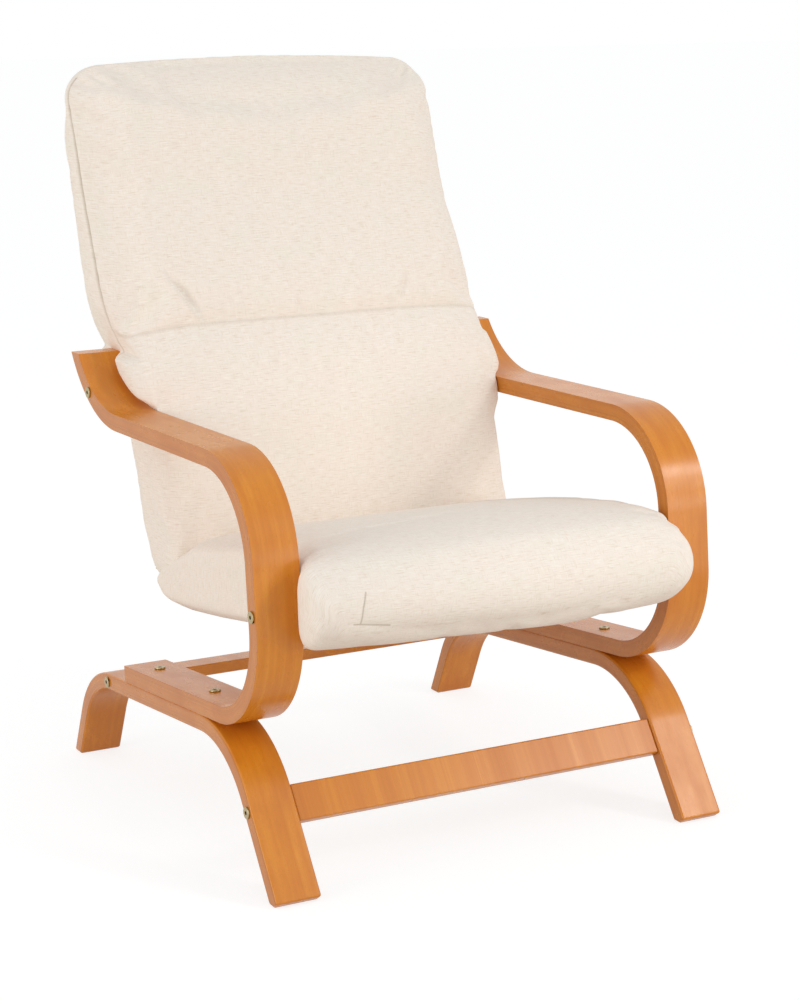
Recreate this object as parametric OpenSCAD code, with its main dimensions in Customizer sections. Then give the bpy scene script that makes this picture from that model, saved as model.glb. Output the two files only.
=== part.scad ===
// Cantilever lounge chair: two bent strips of laminated wood on each side carry
// an upholstered seat and back. Side outlines are drawn forward and up from the
// glued seam between the strips, and stood upright by side_plane().

/* [Overall] */
// Width across the two pairs of bent strips
chair_w = 640; // [580:1:700]
// Height of the seam between runner and leg strip, at mid depth
seam_h = 170; // [150:1:190]
// Rise of the runner towards the front, in degrees
runner_rise = 5.7; // [4:0.1:7]

/* [Bent strips] */
// Width of the laminated strips
strip_w = 60; // [50:1:70]
// Thickness of the laminated strips
strip_t = 22; // [18:1:24]

/* [Leg strip] */
// Straight run from mid depth back to the rear bend
leg_back_run = 202; // [180:1:220]
// Straight run from mid depth forward to the front bend
leg_front_run = 117; // [100:1:140]
// Centre line radius of the rear bend
rear_bend_r = 123; // [105:1:140]
// Lean of the rear leg from upright, in degrees
rear_leg_lean = 25.7; // [20:0.1:30]
// Centre line radius of the front bend
front_bend_r = 146; // [125:1:160]
// Lean of the front leg from upright, in degrees
front_leg_lean = 35.6; // [30:0.1:40]

/* [Arm strip] */
// Run of the runner behind mid depth
runner_back_run = 134; // [120:1:150]
// Straight length of the whole runner
runner_run = 317; // [300:1:330]
// Centre line radius of the bend from runner to upright
lower_bend_r = 120; // [105:1:130]
// Backward lean of the upright, in degrees
upright_lean = 5; // [2:0.1:8]
// Straight length of the upright
upright_run = 76; // [60:1:90]
// Centre line radius of the bend from upright to armrest
upper_bend_r = 121; // [110:1:135]
// Fall of the armrest towards the back, in degrees
arm_fall = 1.2; // [0:0.1:3]
// Straight length of the armrest
arm_run = 294; // [280:1:305]
// Centre line radius of the bend from armrest to back tab
tab_bend_r = 169; // [150:1:180]
// Slope of the back tab above level, in degrees
tab_slope = 60; // [55:1:65]
// Height of the tab's level end cut
tab_top = 583; // [570:1:595]

/* [Cross pieces] */
// Depth of the two cross rails between the leg strips
cross_depth = 47; // [36:1:52]
// Thickness of the two cross rails
cross_t = 16; // [12:1:18]
// Distance down the front leg from its bend to the middle of the stretcher
stretcher_drop = 16; // [8:1:30]

/* [Fasteners] */
// Diameter of the furniture bolts
bolt_d = 6; // [5:0.5:8]
// Diameter of the bolts' flat heads
head_d = 15; // [12:0.5:17]
// Thickness of the bolts' flat heads
head_t = 2.5; // [1.5:0.1:3]
// Width across the hexagon socket's corners
socket_w = 5; // [3:0.5:6]
// Run of the runner's rear bolt behind mid depth
rear_bolt_run = 80; // [65:1:100]
// Run of the runner's front bolt before mid depth
front_bolt_run = 104; // [90:1:115]
// Length of the upright below the seat's bolt
upright_bolt_run = 18; // [8:1:40]
// Turn of the tab's bend before the back's bolt, in degrees
tab_bolt_turn = 34; // [28:1:44]
// Diameter of the cross rails' barrel nuts
barrel_d = 10; // [9:0.5:12]
// Distance of a barrel nut from the end of its rail
barrel_inset = 28; // [20:1:36]
// Outer diameter of the sleeve nuts in the leg strips
sleeve_d = 9; // [8:0.5:10]
// Outer diameter of the threaded inserts in the seat frame
insert_d = 12; // [10:0.5:13]

/* [Upholstery frame] */
// Thickness of the sawn frame rails
rail_t = 24; // [20:1:28]
// Depth of the sawn frame rails
rail_h = 42; // [34:1:44]
// Slope of the seat rails down to the back, in degrees
seat_slope = 6.6; // [5:0.1:8]
// Length of a seat rail behind its bolt
seat_rail_run = 444; // [430:1:448]
// Length of a seat rail in front of its bolt
seat_rail_nose = 14; // [11:1:16]
// Distance of the back stile's foot from the seat rail's rear end
stile_foot_inset = 22; // [20:1:30]
// Length of the stile's middle part above its bolt
stile_mid_run = 177; // [150:1:190]
// Lean of the stile's middle part from upright, in degrees
stile_mid_lean = 30; // [26:0.5:33]
// Length of the stile's top part
stile_top_run = 222; // [190:1:235]
// Lean of the stile's top part from upright, in degrees
stile_top_lean = 17.5; // [15:0.5:20]
// Diameter of the frame's wooden dowels
dowel_d = 10; // [8:0.5:12]
// Length of the frame's wooden dowels
dowel_l = 40; // [30:1:44]
// Width of a webbing band
band_w = 50; // [40:1:60]
// Thickness of the webbing bands
band_t = 2; // [1.5:0.1:3]

/* [Upholstery] */
// Lap of the seat's front roll over each upright
seat_lap = 22; // [12:1:30]
// Reach of the seat in front of its bolts
seat_overhang = 85; // [76:1:92]
// Depth of the seat from its front to its rear
seat_len = 542; // [530:1:555]
// Drop from the seat's bolts to its underside
seat_drop = 85; // [80:1:90]
// Height from the seat's lowest to its highest point
seat_rise = 147; // [140:1:155]
// Crown of the seat in the middle of its width
seat_crown = 10; // [4:1:14]
// Lap of the back over each arm tab
back_lap = 19; // [10:1:28]
// Drop from the back's bolts to its lowest edge
back_drop = 251; // [246:1:256]
// Height from the back's lowest edge to its top
back_rise = 676; // [660:1:690]
// Reach of the back's lower front face in front of its bolts
back_lead = 129; // [125:1:134]
// Depth from the back's lower front face to its rearmost point
back_depth = 332; // [325:1:340]
// Crown of the back in the middle of its width
back_crown = 12; // [4:1:18]
// Depth of the seam sewn across the back
seam_groove = 9; // [3:1:14]
// Amount by which the sides are drawn in between the corners
side_draw = 4; // [0:0.5:8]
// Thickness of the fabric panels under the seat and behind the back
panel_t = 3; // [2:0.5:4]

/* [Hidden] */
$fn = 64;

wood = "#d9903f";
shade_wood = "#b9743a";
raw_wood = "#dcc29a";
cloth = "#ece1d0";
web = "#8a8378";
steel = "#b8b8b6";

// Clearances, in the order of tightness
thread_gap = 0.05;
seat_gap = 0.3;
hole_gap = 0.3;
// Overrun that lets a cut pass through a face
over = 2;

// Places that the strips share. A state is [forward, up, heading in degrees].
half_w = chair_w / 2;
inner_half = half_w - strip_w;
strip_mid_x = half_w - strip_w / 2;
along = [cos(runner_rise), sin(runner_rise)];
across = [-sin(runner_rise), cos(runner_rise)];
seam = [0, seam_h];
leg_mid = seam - across * strip_t / 2;
arm_mid = seam + across * strip_t / 2;

// A path piece is [0, straight run] or [radius, turn], where a turn above zero bends upwards
function straight_end(s, run) = [s.x + run * cos(s.z), s.y + run * sin(s.z), s.z];
function bend_end(s, r, turn) =
    let (k = sign(turn))
    [
        s.x + k * r * (sin(s.z + turn) - sin(s.z)),
        s.y + k * r * (cos(s.z) - cos(s.z + turn)),
        s.z + turn
    ];
function piece_end(s, piece) = piece.x == 0 ? straight_end(s, piece.y) : bend_end(s, piece.x, piece.y);
function walk(s, path, n, i = 0) = i >= n ? s : walk(piece_end(s, path[i]), path, n, i + 1);
function beside(s, d) = [s.x - d * sin(s.z), s.y + d * cos(s.z)];
// Points beside a path, at a distance d to its left; bends take a point every few degrees
bend_step = 4; // degrees
function path_side(start, path, d) = [
    for (i = [0 : len(path) - 1])
        let (s = walk(start, path, i), v = path[i], n = v.x == 0 ? 1 : ceil(abs(v.y) / bend_step))
        for (k = [1 : n])
            beside(v.x == 0 ? straight_end(s, v.y) : bend_end(s, v.x, v.y * k / n), d)
];
function reversed(list) = [for (i = [len(list) - 1 : -1 : 0]) list[i]];
function strip_half(start, path, d) = concat(path_side(start, path, d), reversed(path_side(start, path, -d)));
function strip_outline(start, path, d) =
    concat([beside(start, -d), beside(start, d)], strip_half(start, path, d));

front_start = [leg_mid.x, leg_mid.y, runner_rise];
front_turn = front_leg_lean - 90 - runner_rise;
front_knee = walk(front_start, [[0, leg_front_run], [front_bend_r, front_turn]], 2);
front_path = [
    [0, leg_front_run], [front_bend_r, front_turn],
    [0, (front_knee.y + strip_t) / cos(front_leg_lean)]
];
rear_start = [leg_mid.x, leg_mid.y, 180 + runner_rise];
rear_turn = 90 - rear_leg_lean - runner_rise;
rear_knee = walk(rear_start, [[0, leg_back_run], [rear_bend_r, rear_turn]], 2);
rear_path = [
    [0, leg_back_run], [rear_bend_r, rear_turn],
    [0, (rear_knee.y + strip_t) / cos(rear_leg_lean)]
];

arm_heading = 180 + arm_fall;
arm_start = [
    arm_mid.x - runner_back_run * along.x, arm_mid.y - runner_back_run * along.y, runner_rise
];
arm_first = [
    [0, runner_run], [lower_bend_r, 90 + upright_lean - runner_rise],
    [0, upright_run], [upper_bend_r, arm_heading - 90 - upright_lean],
    [0, arm_run], [tab_bend_r, 180 - tab_slope - arm_heading]
];
tab_end = walk(arm_start, arm_first, len(arm_first));
arm_path = concat(arm_first, [[0, max(0, (tab_top - tab_end.y) / sin(tab_slope)) + strip_t * 2]]);

// Middles of the bolts that pass through the strips' width
upright_bolt = straight_end(walk(arm_start, arm_path, 2), upright_bolt_run);
tab_bolt = bend_end(walk(arm_start, arm_path, 5), tab_bend_r, -tab_bolt_turn);
stretcher_mid = straight_end(front_knee, stretcher_drop);
crossrail_mid = walk(rear_start, rear_path, 1);

// Seat frame: a rail line through the upright bolt, and stiles that rise to the tab bolt
rail_dir = [cos(seat_slope), sin(seat_slope)];
rail_up = [-rail_dir.y, rail_dir.x];
seat_bolt_at = [upright_bolt.x, upright_bolt.y];
back_bolt_at = [tab_bolt.x, tab_bolt.y];
rail_front = seat_bolt_at + rail_dir * seat_rail_nose;
rail_back = seat_bolt_at - rail_dir * seat_rail_run;
stile_foot = rail_back + rail_dir * stile_foot_inset + rail_up * rail_h / 2;
stile_bend = back_bolt_at + stile_mid_run * [-sin(stile_mid_lean), cos(stile_mid_lean)];
stile_top = stile_bend + stile_top_run * [-sin(stile_top_lean), cos(stile_top_lean)];
stile_line = [stile_foot, back_bolt_at, stile_bend, stile_top];
rail_out = inner_half - rail_t / 3;
rail_in = rail_out - rail_t;
bolt_l = half_w - rail_in - panel_t;
rail_bolt_l = strip_w + barrel_inset + barrel_d;
sleeve_l = strip_t - panel_t;

// Upholstery shapes: rows of [share of length, share of thickness], from the low or rear end
seat_top_shares = [
    [0, 0.39], [0.05, 0.49], [0.11, 0.54], [0.21, 0.61], [0.30, 0.69], [0.39, 0.755], [0.48, 0.823],
    [0.58, 0.89], [0.73, 0.973], [0.84, 1], [0.90, 0.985], [1, 0.9]
];
seat_under_shares = [
    [0, 0.16], [0.05, 0.03], [0.11, 0], [0.21, 0.025], [0.30, 0.07], [0.39, 0.116], [0.48, 0.17],
    [0.58, 0.23], [0.73, 0.286], [0.84, 0.305], [0.90, 0.313], [1, 0.38]
];
seat_station_shares = [
    0, 0.008, 0.03, 0.07, 0.14, 0.21, 0.30, 0.39, 0.48, 0.58, 0.66, 0.73, 0.80, 0.86, 0.91, 0.94,
    0.965, 0.985, 0.996, 1
];
back_front_shares = [
    [0, 0], [0.03, -0.02], [0.087, -0.01], [0.185, 0.03], [0.315, 0.09], [0.392, 0.15], [0.487, 0.262],
    [0.6, 0.39], [0.743, 0.55], [0.848, 0.63], [0.91, 0.685], [1, 0.765]
];
back_rear_shares = [
    [0, 0.25], [0.03, 0.275], [0.087, 0.32], [0.185, 0.39], [0.315, 0.475], [0.392, 0.555], [0.487, 0.682],
    [0.6, 0.78], [0.743, 0.867], [0.848, 0.925], [0.91, 0.965], [0.96, 0.995], [1, 0.99]
];
back_station_shares = [
    0, 0.006, 0.02, 0.05, 0.10, 0.16, 0.23, 0.295, 0.35, 0.40, 0.44, 0.465, 0.487, 0.509, 0.53, 0.56,
    0.61, 0.67, 0.735, 0.80, 0.86, 0.91, 0.94, 0.965, 0.984, 0.995, 1
];
seam_share = 0.487;
seam_spread_share = 0.035;
seat_nose_share = 0.095;
seat_tail_share = 0.03;
back_top_share = 0.06;
back_foot_share = 0.05;
// Corner turns of a pad, in degrees, and the steps across its middle as shares of the half width
corner_turns = [90, 68, 45, 22];
middle_shares = [-1, -0.66, -0.33, 0, 0.33, 0.66, 1];

seat_reach = seat_bolt_at.x + seat_overhang;
seat_low = seat_bolt_at.y - seat_drop;
seat_roll_half = inner_half + seat_lap;
back_half = inner_half + back_lap;
back_front = -back_bolt_at.x - back_lead;
back_low = back_bolt_at.y - back_drop;
seat_corner_top = 40;
seat_corner_under = 16;
back_corner_low = 24;
back_corner_high = 50;
back_corner_span_shares = [0.36, 0.14];
back_corner_rear = 14;
seat_narrow = inner_half - seat_gap;

// Value at share u of a table of rows, straight between the rows
function between(rows, u) =
    let (i = max([for (k = [0 : len(rows) - 2]) if (u >= rows[k].x) k]), a = rows[i], b = rows[i + 1])
    a.y + (b.y - a.y) * (u - a.x) / (b.x - a.x);
// Roundness of a pad's two ends: 1 along the pad, 0 at its tips
function end_round(u, low_share, high_share) =
    u < low_share ? sqrt(1 - pow((low_share - u) / low_share, 2))
    : u > 1 - high_share ? sqrt(max(0, 1 - pow((u - 1 + high_share) / high_share, 2))) : 1;
function eased(v) = let (t = min(1, max(0, v))) t * t * (3 - 2 * t);

// Cross places of a pad's rings: [side from -1 to 1 of the flat middle, corner turn]
ring_steps = concat(
    [for (turn = corner_turns) [-1, turn]],
    [for (m = middle_shares) [m, 0]],
    [for (i = [len(corner_turns) - 1 : -1 : 0]) [1, corner_turns[i]]]
);

// Seat ring point: forward f and height z, at cross place step
function seat_half(f, inner) =
    inner + (seat_roll_half - inner) * eased((f - seat_reach + 2 * seat_corner_top) / seat_corner_top);
function seat_point(step, u, upper) =
    let (
        r_end = seat_corner_top * (1 - cos(step.y)),
        f = seat_reach - seat_len * (1 - u),
        f_in = f - eased((u - 1 + 2 * seat_nose_share) / seat_nose_share) * r_end,
        round_end = end_round(u, seat_tail_share, seat_nose_share),
        top = seat_low + seat_rise * between(seat_top_shares, u),
        low = seat_low + seat_rise * between(seat_under_shares, u),
        mid = (top + low) / 2,
        crown = seat_crown * (1 - step.x * step.x) * sin(180 * min(1, u)),
        high = (top - mid) + crown - seat_corner_top / 2 * (1 - cos(step.y)),
        deep = (mid - low) - seat_corner_under * (1 - cos(step.y)),
        z = mid + round_end * (upper ? high : -deep),
        half = seat_half(f, seat_narrow),
        corner = upper ? seat_corner_top : seat_corner_under,
        x = step.x * (half - corner) + sign(step.x) * corner * sin(step.y)
    )
    [x, -f_in, z];
// Back ring point: height along the pad, depth across it
function back_half_at(z) =
    let (rise = eased((z - tab_top + 2 * strip_w) / strip_w))
    seat_narrow + (back_half - seat_narrow) * rise;
function back_point(step, u, front) =
    let (
        corner_rise = eased((u - back_corner_span_shares[0]) / back_corner_span_shares[1]),
        corner_front = back_corner_low + (back_corner_high - back_corner_low) * corner_rise,
        r_end = corner_front / 2 * (1 - cos(step.y)),
        z = back_low + u * back_rise - eased((u - 1 + 2 * back_top_share) / back_top_share) * r_end,
        round_end = end_round(u, back_foot_share, back_top_share),
        front_y = back_front + back_depth * between(back_front_shares, u),
        rear_y = back_front + back_depth * between(back_rear_shares, u),
        mid = (front_y + rear_y) / 2,
        groove = seam_groove * (1 - eased(abs(u - seam_share) / seam_spread_share)),
        crown = back_crown * (1 - step.x * step.x) * sin(180 * u),
        fore = (mid - front_y) + crown - groove - corner_front * (1 - cos(step.y)),
        aft = (rear_y - mid) - back_corner_rear * (1 - cos(step.y)),
        y = mid + round_end * (front ? -fore : aft),
        half = back_half_at(z) - side_draw * sin(180 * u) * (step.y > 0 ? 1 : 0) * (u > seam_share ? 1 : 0),
        corner = front ? corner_front : back_corner_rear,
        x = step.x * (half - corner) + sign(step.x) * corner * sin(step.y)
    )
    [x, y, z];

// A pad from its rings: each ring runs up one face and back along the other
seat_rings = [
    for (step = ring_steps)
        concat(
            [for (u = seat_station_shares) seat_point(step, u, true)],
            [for (i = [len(seat_station_shares) - 2 : -1 : 1]) seat_point(step, seat_station_shares[i], false)]
        )
];
back_rings = [
    for (step = ring_steps)
        concat(
            [for (u = back_station_shares) back_point(step, u, false)],
            [for (i = [len(back_station_shares) - 2 : -1 : 1]) back_point(step, back_station_shares[i], true)]
        )
];
front_tip = min([for (ring = seat_rings, p = ring) p.y]);
rear_tip = max([for (ring = back_rings, p = ring) p.y]);
mid_y = (front_tip + rear_tip) / 2;

module pad(rings) {
    n = len(rings[0]);
    m = len(rings);
    last = (m - 1) * n;
    sides = [
        for (i = [0 : m - 2], j = [0 : n - 1])
            let (a = i * n + j, b = i * n + (j + 1) % n)
            each [[a, a + n, b], [b, a + n, b + n]]
    ];
    // Each end ring is closed by strips that join its two faces station by station
    ends = [
        for (j = [0 : n / 2 - 1])
            let (k = (n - j) % n)
            each concat(
                j == 0 ? [] : [[j, j + 1, k], [last + k, last + j + 1, last + j]],
                [[j + 1, n - j - 1, k], [last + k, last + n - j - 1, last + j + 1]]
            )
    ];
    polyhedron([for (ring = rings, p = ring) p], concat(sides, [for (face = ends) if (len(face) == 3) face]));
}

// Puts the part's origin on the floor, at the middle of its length
module placed() {
    translate([0, -mid_y, 0]) children();
}

// Stands a side outline upright: its x points forward, its y up, and it is centred on x
module side_plane(x) {
    translate([x, 0, 0]) rotate([90, 0, -90]) children();
}

// Side outline of a strip that leaves its start along one path, or both ways along two
module strip(outline) {
    linear_extrude(strip_w, center = true) polygon(outline);
}

// Points an axis out of the chair's side at a place [forward, up] of the side outline
module out_of_side(side, at) {
    translate([side * half_w, -at.x, at.y]) rotate([0, side * 90, 0]) children();
}

// Points an axis up out of the runner's top face at a run from mid depth
module out_of_runner(side, run) {
    at = seam + along * run + across * strip_t;
    translate([side * strip_mid_x, -at.x, at.y]) rotate([-runner_rise, 0, 0]) children();
}

module flat_bolt(length) {
    difference() {
        union() {
            cylinder(h = head_t, d = head_d);
            translate([0, 0, -length]) cylinder(h = length + head_t / 2, d = bolt_d);
        }
        translate([0, 0, head_t / 3]) cylinder(h = head_t, d = socket_w, $fn = 6);
    }
}

module bolt_hole(length) {
    translate([0, 0, -length]) cylinder(h = length + over, d = bolt_d + 2 * hole_gap);
}

module arm_bow(side) {
    color(wood) placed() difference() {
        side_plane(side * strip_mid_x) difference() {
            strip(strip_outline(arm_start, arm_path, strip_t / 2));
            translate([tab_end.x - 4 * strip_t, tab_top, -strip_w]) cube([8 * strip_t, 8 * strip_t, 2 * strip_w]);
        }
        out_of_side(side, seat_bolt_at) bolt_hole(strip_w + over);
        out_of_side(side, back_bolt_at) bolt_hole(strip_w + over);
        for (run = [-rear_bolt_run, front_bolt_run])
            out_of_runner(side, run) bolt_hole(strip_t + over);
    }
}

module leg_bow(side) {
    color(wood) placed() difference() {
        side_plane(side * strip_mid_x) difference() {
            strip(concat(
                strip_half(front_start, front_path, strip_t / 2),
                strip_half(rear_start, rear_path, strip_t / 2)
            ));
            translate([-2 * seat_len, -4 * strip_t, -strip_w]) cube([4 * seat_len, 4 * strip_t, 2 * strip_w]);
        }
        out_of_side(side, stretcher_mid) bolt_hole(strip_w + over);
        out_of_side(side, crossrail_mid) bolt_hole(strip_w + over);
        for (run = [-rear_bolt_run, front_bolt_run])
            out_of_runner(side, run) {
                bolt_hole(2 * strip_t + over);
                translate([0, 0, -2 * strip_t - over])
                    cylinder(h = sleeve_l + over + hole_gap, d = sleeve_d + 2 * hole_gap);
            }
    }
}

// A rail between the leg strips, with its bolt holes and the cross holes of its barrel nuts
module cross_rail(at) {
    difference() {
        side_plane(0) translate([at.x, at.y, 0]) rotate([0, 0, at.z])
            cube([cross_depth, cross_t, 2 * inner_half], center = true);
        for (side = [-1, 1]) {
            out_of_side(side, at) bolt_hole(rail_bolt_l + over);
            barrel_place(side, at)
                cylinder(h = cross_t + 2 * over, d = barrel_d + 2 * thread_gap, center = true);
        }
    }
}

module barrel_place(side, at) {
    side_plane(side * (inner_half - barrel_inset)) translate([at.x, at.y, 0]) rotate([0, 0, at.z])
        rotate([90, 0, 0]) children();
}

module barrel_nuts(at) {
    for (side = [-1, 1]) difference() {
        barrel_place(side, at) cylinder(h = cross_t - 2 * thread_gap, d = barrel_d, center = true);
        out_of_side(side, at) translate([0, 0, -rail_bolt_l - over])
            cylinder(h = rail_bolt_l + over, d = bolt_d + 2 * thread_gap);
    }
}

module front_stretcher() {
    color(wood) placed() cross_rail(stretcher_mid);
}

module rear_crossrail() {
    color(wood) placed() cross_rail(crossrail_mid);
}

module runner_bolts() {
    color(steel) placed() for (side = [-1, 1], run = [-rear_bolt_run, front_bolt_run])
        out_of_runner(side, run) flat_bolt(2 * strip_t - panel_t);
}

module runner_sleeve_nuts() {
    color(steel) placed() for (side = [-1, 1], run = [-rear_bolt_run, front_bolt_run])
        out_of_runner(side, run) translate([0, 0, -2 * strip_t]) difference() {
            union() {
                translate([0, 0, -head_t]) cylinder(h = head_t, d = head_d);
                translate([0, 0, -head_t / 2]) cylinder(h = sleeve_l + head_t / 2, d = sleeve_d);
            }
            cylinder(h = sleeve_l + over, d = bolt_d + 2 * thread_gap);
        }
}

module stretcher_bolts() {
    color(steel) placed() for (side = [-1, 1]) out_of_side(side, stretcher_mid) flat_bolt(rail_bolt_l);
}

module stretcher_barrel_nuts() {
    color(steel) placed() barrel_nuts(stretcher_mid);
}

module crossrail_bolts() {
    color(steel) placed() for (side = [-1, 1]) out_of_side(side, crossrail_mid) flat_bolt(rail_bolt_l);
}

module crossrail_barrel_nuts() {
    color(steel) placed() barrel_nuts(crossrail_mid);
}

module seat_side_bolts() {
    color(steel) placed() for (side = [-1, 1]) out_of_side(side, seat_bolt_at) flat_bolt(bolt_l);
}

module back_side_bolts() {
    color(steel) placed() for (side = [-1, 1]) out_of_side(side, back_bolt_at) flat_bolt(bolt_l);
}

module frame_insert_nuts() {
    color(steel) placed() for (side = [-1, 1], at = [seat_bolt_at, back_bolt_at])
        out_of_side(side, at) translate([0, 0, rail_in - half_w]) difference() {
            cylinder(h = rail_t, d = insert_d);
            translate([0, 0, -over]) cylinder(h = rail_t + 2 * over, d = bolt_d + 2 * thread_gap);
        }
}

// Outline of a sawn board along a line of points, mitred at each, with square or cut ends
function unit(v) = v / norm(v);
function left_of(v) = [-v.y, v.x];
function board_side(line, d) = [
    for (i = [0 : len(line) - 1])
        let (
            a = unit(line[min(i + 1, len(line) - 1)] - line[min(i, len(line) - 2)]),
            b = i == 0 ? a : unit(line[i] - line[i - 1]),
            n = left_of(unit(a + b))
        )
        line[i] + n * d / (n * left_of(b))
];
function board(line, d) =
    let (back = board_side(line, -d))
    concat(board_side(line, d), reversed(back));

rail_line = [rail_back, rail_front];
// The stile's foot runs on below the rail's top face, where the rail's outline cuts it off
stile_long = concat([stile_foot - rail_up * rail_h / 2], [for (i = [1 : 3]) stile_line[i]]);

// Cross rails of the frame: [middle, heading] of each, in the side outline
front_rail_at = rail_front - rail_dir * rail_t / 2;
rear_rail_at = rail_back + rail_dir * rail_t / 2;
stile_low_dir = unit(back_bolt_at - stile_foot);
lumbar_at = back_bolt_at - stile_low_dir * rail_h;
stile_top_dir = unit(stile_top - stile_bend);
top_rail_at = stile_top - stile_top_dir * rail_t / 2;
cross_places = [
    [front_rail_at, rail_dir], [rear_rail_at, rail_dir],
    [lumbar_at, stile_low_dir], [top_rail_at, stile_top_dir]
];
dowel_spread = rail_h / 4;

module at_side(p, dir) {
    side_plane(0) translate([p.x, p.y, 0]) rotate([0, 0, atan2(dir.y, dir.x)]) children();
}

module dowel(gap) {
    for (side = [-1, 1])
        translate([0, 0, side * rail_in]) cylinder(h = dowel_l + 2 * gap, d = dowel_d + 2 * gap, center = true);
}

module cross_dowels(gap) {
    for (place = cross_places, k = [-1, 1])
        at_side(place.x, place.y) translate([0, k * dowel_spread, 0]) dowel(gap);
}

module foot_dowels(gap) {
    for (side = [-1, 1])
        side_plane(side * (rail_in + rail_out) / 2)
            translate([stile_foot.x, stile_foot.y, 0])
                rotate([0, 0, atan2(stile_low_dir.y, stile_low_dir.x)]) rotate([0, 90, 0])
                    cylinder(h = dowel_l + 2 * gap, d = dowel_d + 2 * gap, center = true);
}

module side_board(side) {
    side_plane(side * (rail_in + rail_out) / 2) linear_extrude(rail_t, center = true) children();
}

module seat_side_rail(side) {
    color(raw_wood) placed() difference() {
        side_board(side) polygon(board(rail_line, rail_h / 2));
        out_of_side(side, seat_bolt_at) translate([0, 0, -half_w])
            cylinder(h = half_w, d = insert_d + 2 * thread_gap);
        cross_dowels(thread_gap);
        foot_dowels(thread_gap);
    }
}

module back_stile(side) {
    color(raw_wood) placed() difference() {
        side_board(side) difference() {
            polygon(board(stile_long, rail_h / 2));
            polygon(board([rail_back - rail_dir * rail_h, rail_front], rail_h / 2 + thread_gap));
        }
        out_of_side(side, back_bolt_at) translate([0, 0, -half_w])
            cylinder(h = half_w, d = insert_d + 2 * thread_gap);
        cross_dowels(thread_gap);
        foot_dowels(thread_gap);
    }
}

module frame_cross(place) {
    color(raw_wood) placed() difference() {
        at_side(place.x, place.y) cube([rail_t, rail_h, 2 * rail_in - 2 * thread_gap], center = true);
        cross_dowels(thread_gap);
    }
}

module frame_dowels() {
    color(shade_wood) placed() {
        cross_dowels(0);
        foot_dowels(0);
    }
}

// Bands of webbing lie across the rails' top faces and the stiles' front faces
seat_band_shares = [0.22, 0.4, 0.58, 0.76, 0.9];
back_band_shares = [0.2, 0.5, 0.8];
module band(p, dir, side) {
    n = left_of(dir) * side;
    q = p + n * (rail_h + band_t) / 2;
    at_side(q, dir) cube([band_w, band_t, 2 * rail_out], center = true);
}

module seat_webbing() {
    color(web) placed() for (s = seat_band_shares)
        band(rail_back + (rail_front - rail_back) * s, rail_dir, 1);
}

module back_webbing() {
    color(web) placed() {
        for (s = back_band_shares) band(stile_bend + (stile_top - stile_bend) * s, stile_top_dir, -1);
        band((back_bolt_at + stile_bend) / 2, unit(stile_bend - back_bolt_at), -1);
        band((stile_foot + back_bolt_at) / 2, stile_low_dir, -1);
    }
}

// Space that the seat frame takes inside the seat, open below
frame_half = rail_out + seat_gap;
module seat_pocket() {
    side_plane(0) linear_extrude(2 * frame_half, center = true) difference() {
        polygon([
            rail_back - rail_dir * seat_gap + rail_up * (rail_h / 2 + band_t + seat_gap),
            rail_front + rail_dir * seat_gap + rail_up * (rail_h / 2 + band_t + seat_gap),
            rail_front + rail_dir * seat_gap - rail_up * seat_rise,
            rail_back - rail_dir * seat_gap - rail_up * seat_rise
        ]);
    }
}

// Space that the back frame takes inside the back, open behind and below
pocket_top = stile_top + stile_top_dir * seat_gap;
module back_pocket() {
    front_line = board_side(
        concat([stile_foot - stile_low_dir * 2 * rail_h], [for (i = [1 : 3]) stile_line[i]]),
        -rail_h / 2 - band_t - seat_gap
    );
    side_plane(0) linear_extrude(2 * frame_half, center = true)
        polygon(concat(
            [for (i = [0 : 2]) front_line[i]],
            [front_line[3] + stile_top_dir * seat_gap, pocket_top, pocket_top - [back_depth, 0]],
            [[-2 * back_depth, front_line[0].y]]
        ));
}

// Slots that the feet of the stiles take in the seat
module stile_slots() {
    for (side = [-1, 1])
        side_plane(side * (rail_in + rail_out) / 2) linear_extrude(rail_t + 2 * seat_gap, center = true)
            polygon(board(stile_long, rail_h / 2 + seat_gap));
}

// Keeps the upholstery clear of the arm strips
module arm_clearance() {
    for (side = [-1, 1])
        side_plane(side * (seat_narrow + strip_w)) linear_extrude(2 * strip_w, center = true)
            polygon(strip_outline(arm_start, arm_path, strip_t / 2 + 2 * seat_gap));
}

module side_bolt_holes(at) {
    for (side = [-1, 1]) out_of_side(side, at) translate([0, 0, -half_w + rail_out / 2])
        cylinder(h = half_w, d = bolt_d + 2 * hole_gap);
}

module seat_cushion() {
    color(cloth) placed() difference() {
        pad(seat_rings);
        seat_pocket();
        stile_slots();
        arm_clearance();
        side_bolt_holes(seat_bolt_at);
    }
}

// The back's foot is pressed to the seat's upper face and takes its shape
module back_cushion() {
    color(cloth) placed() difference() {
        pad(back_rings);
        back_pocket();
        translate([0, 0, seat_gap]) pad(seat_rings);
        arm_clearance();
        side_bolt_holes(back_bolt_at);
    }
}

// Stations of a panel that closes a pocket from place a to place b of a length
function panel_stations(shares, start, length, a, b) =
    concat([a], [for (u = shares) let (v = start + u * length) if (v > a + panel_t && v < b - panel_t) v], [b]);

// Height of the seat rails' lower faces at a place f, and place of the stiles' rear faces at a height z
function rail_under(f) = rail_back.y + (f - rail_back.x) * tan(seat_slope) - rail_h / 2 / cos(seat_slope);
stile_rear = board_side(stile_line, rail_h / 2);
function total(list, i = 0) = i < len(list) ? list[i] + total(list, i + 1) : 0;
function stile_behind(z) =
    stile_rear[0].x + total([
        for (i = [0 : len(stile_rear) - 2])
            let (a = stile_rear[i], b = stile_rear[i + 1])
            (b.x - a.x) * min(1, max(0, (z - a.y) / (b.y - a.y)))
    ]);

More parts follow.
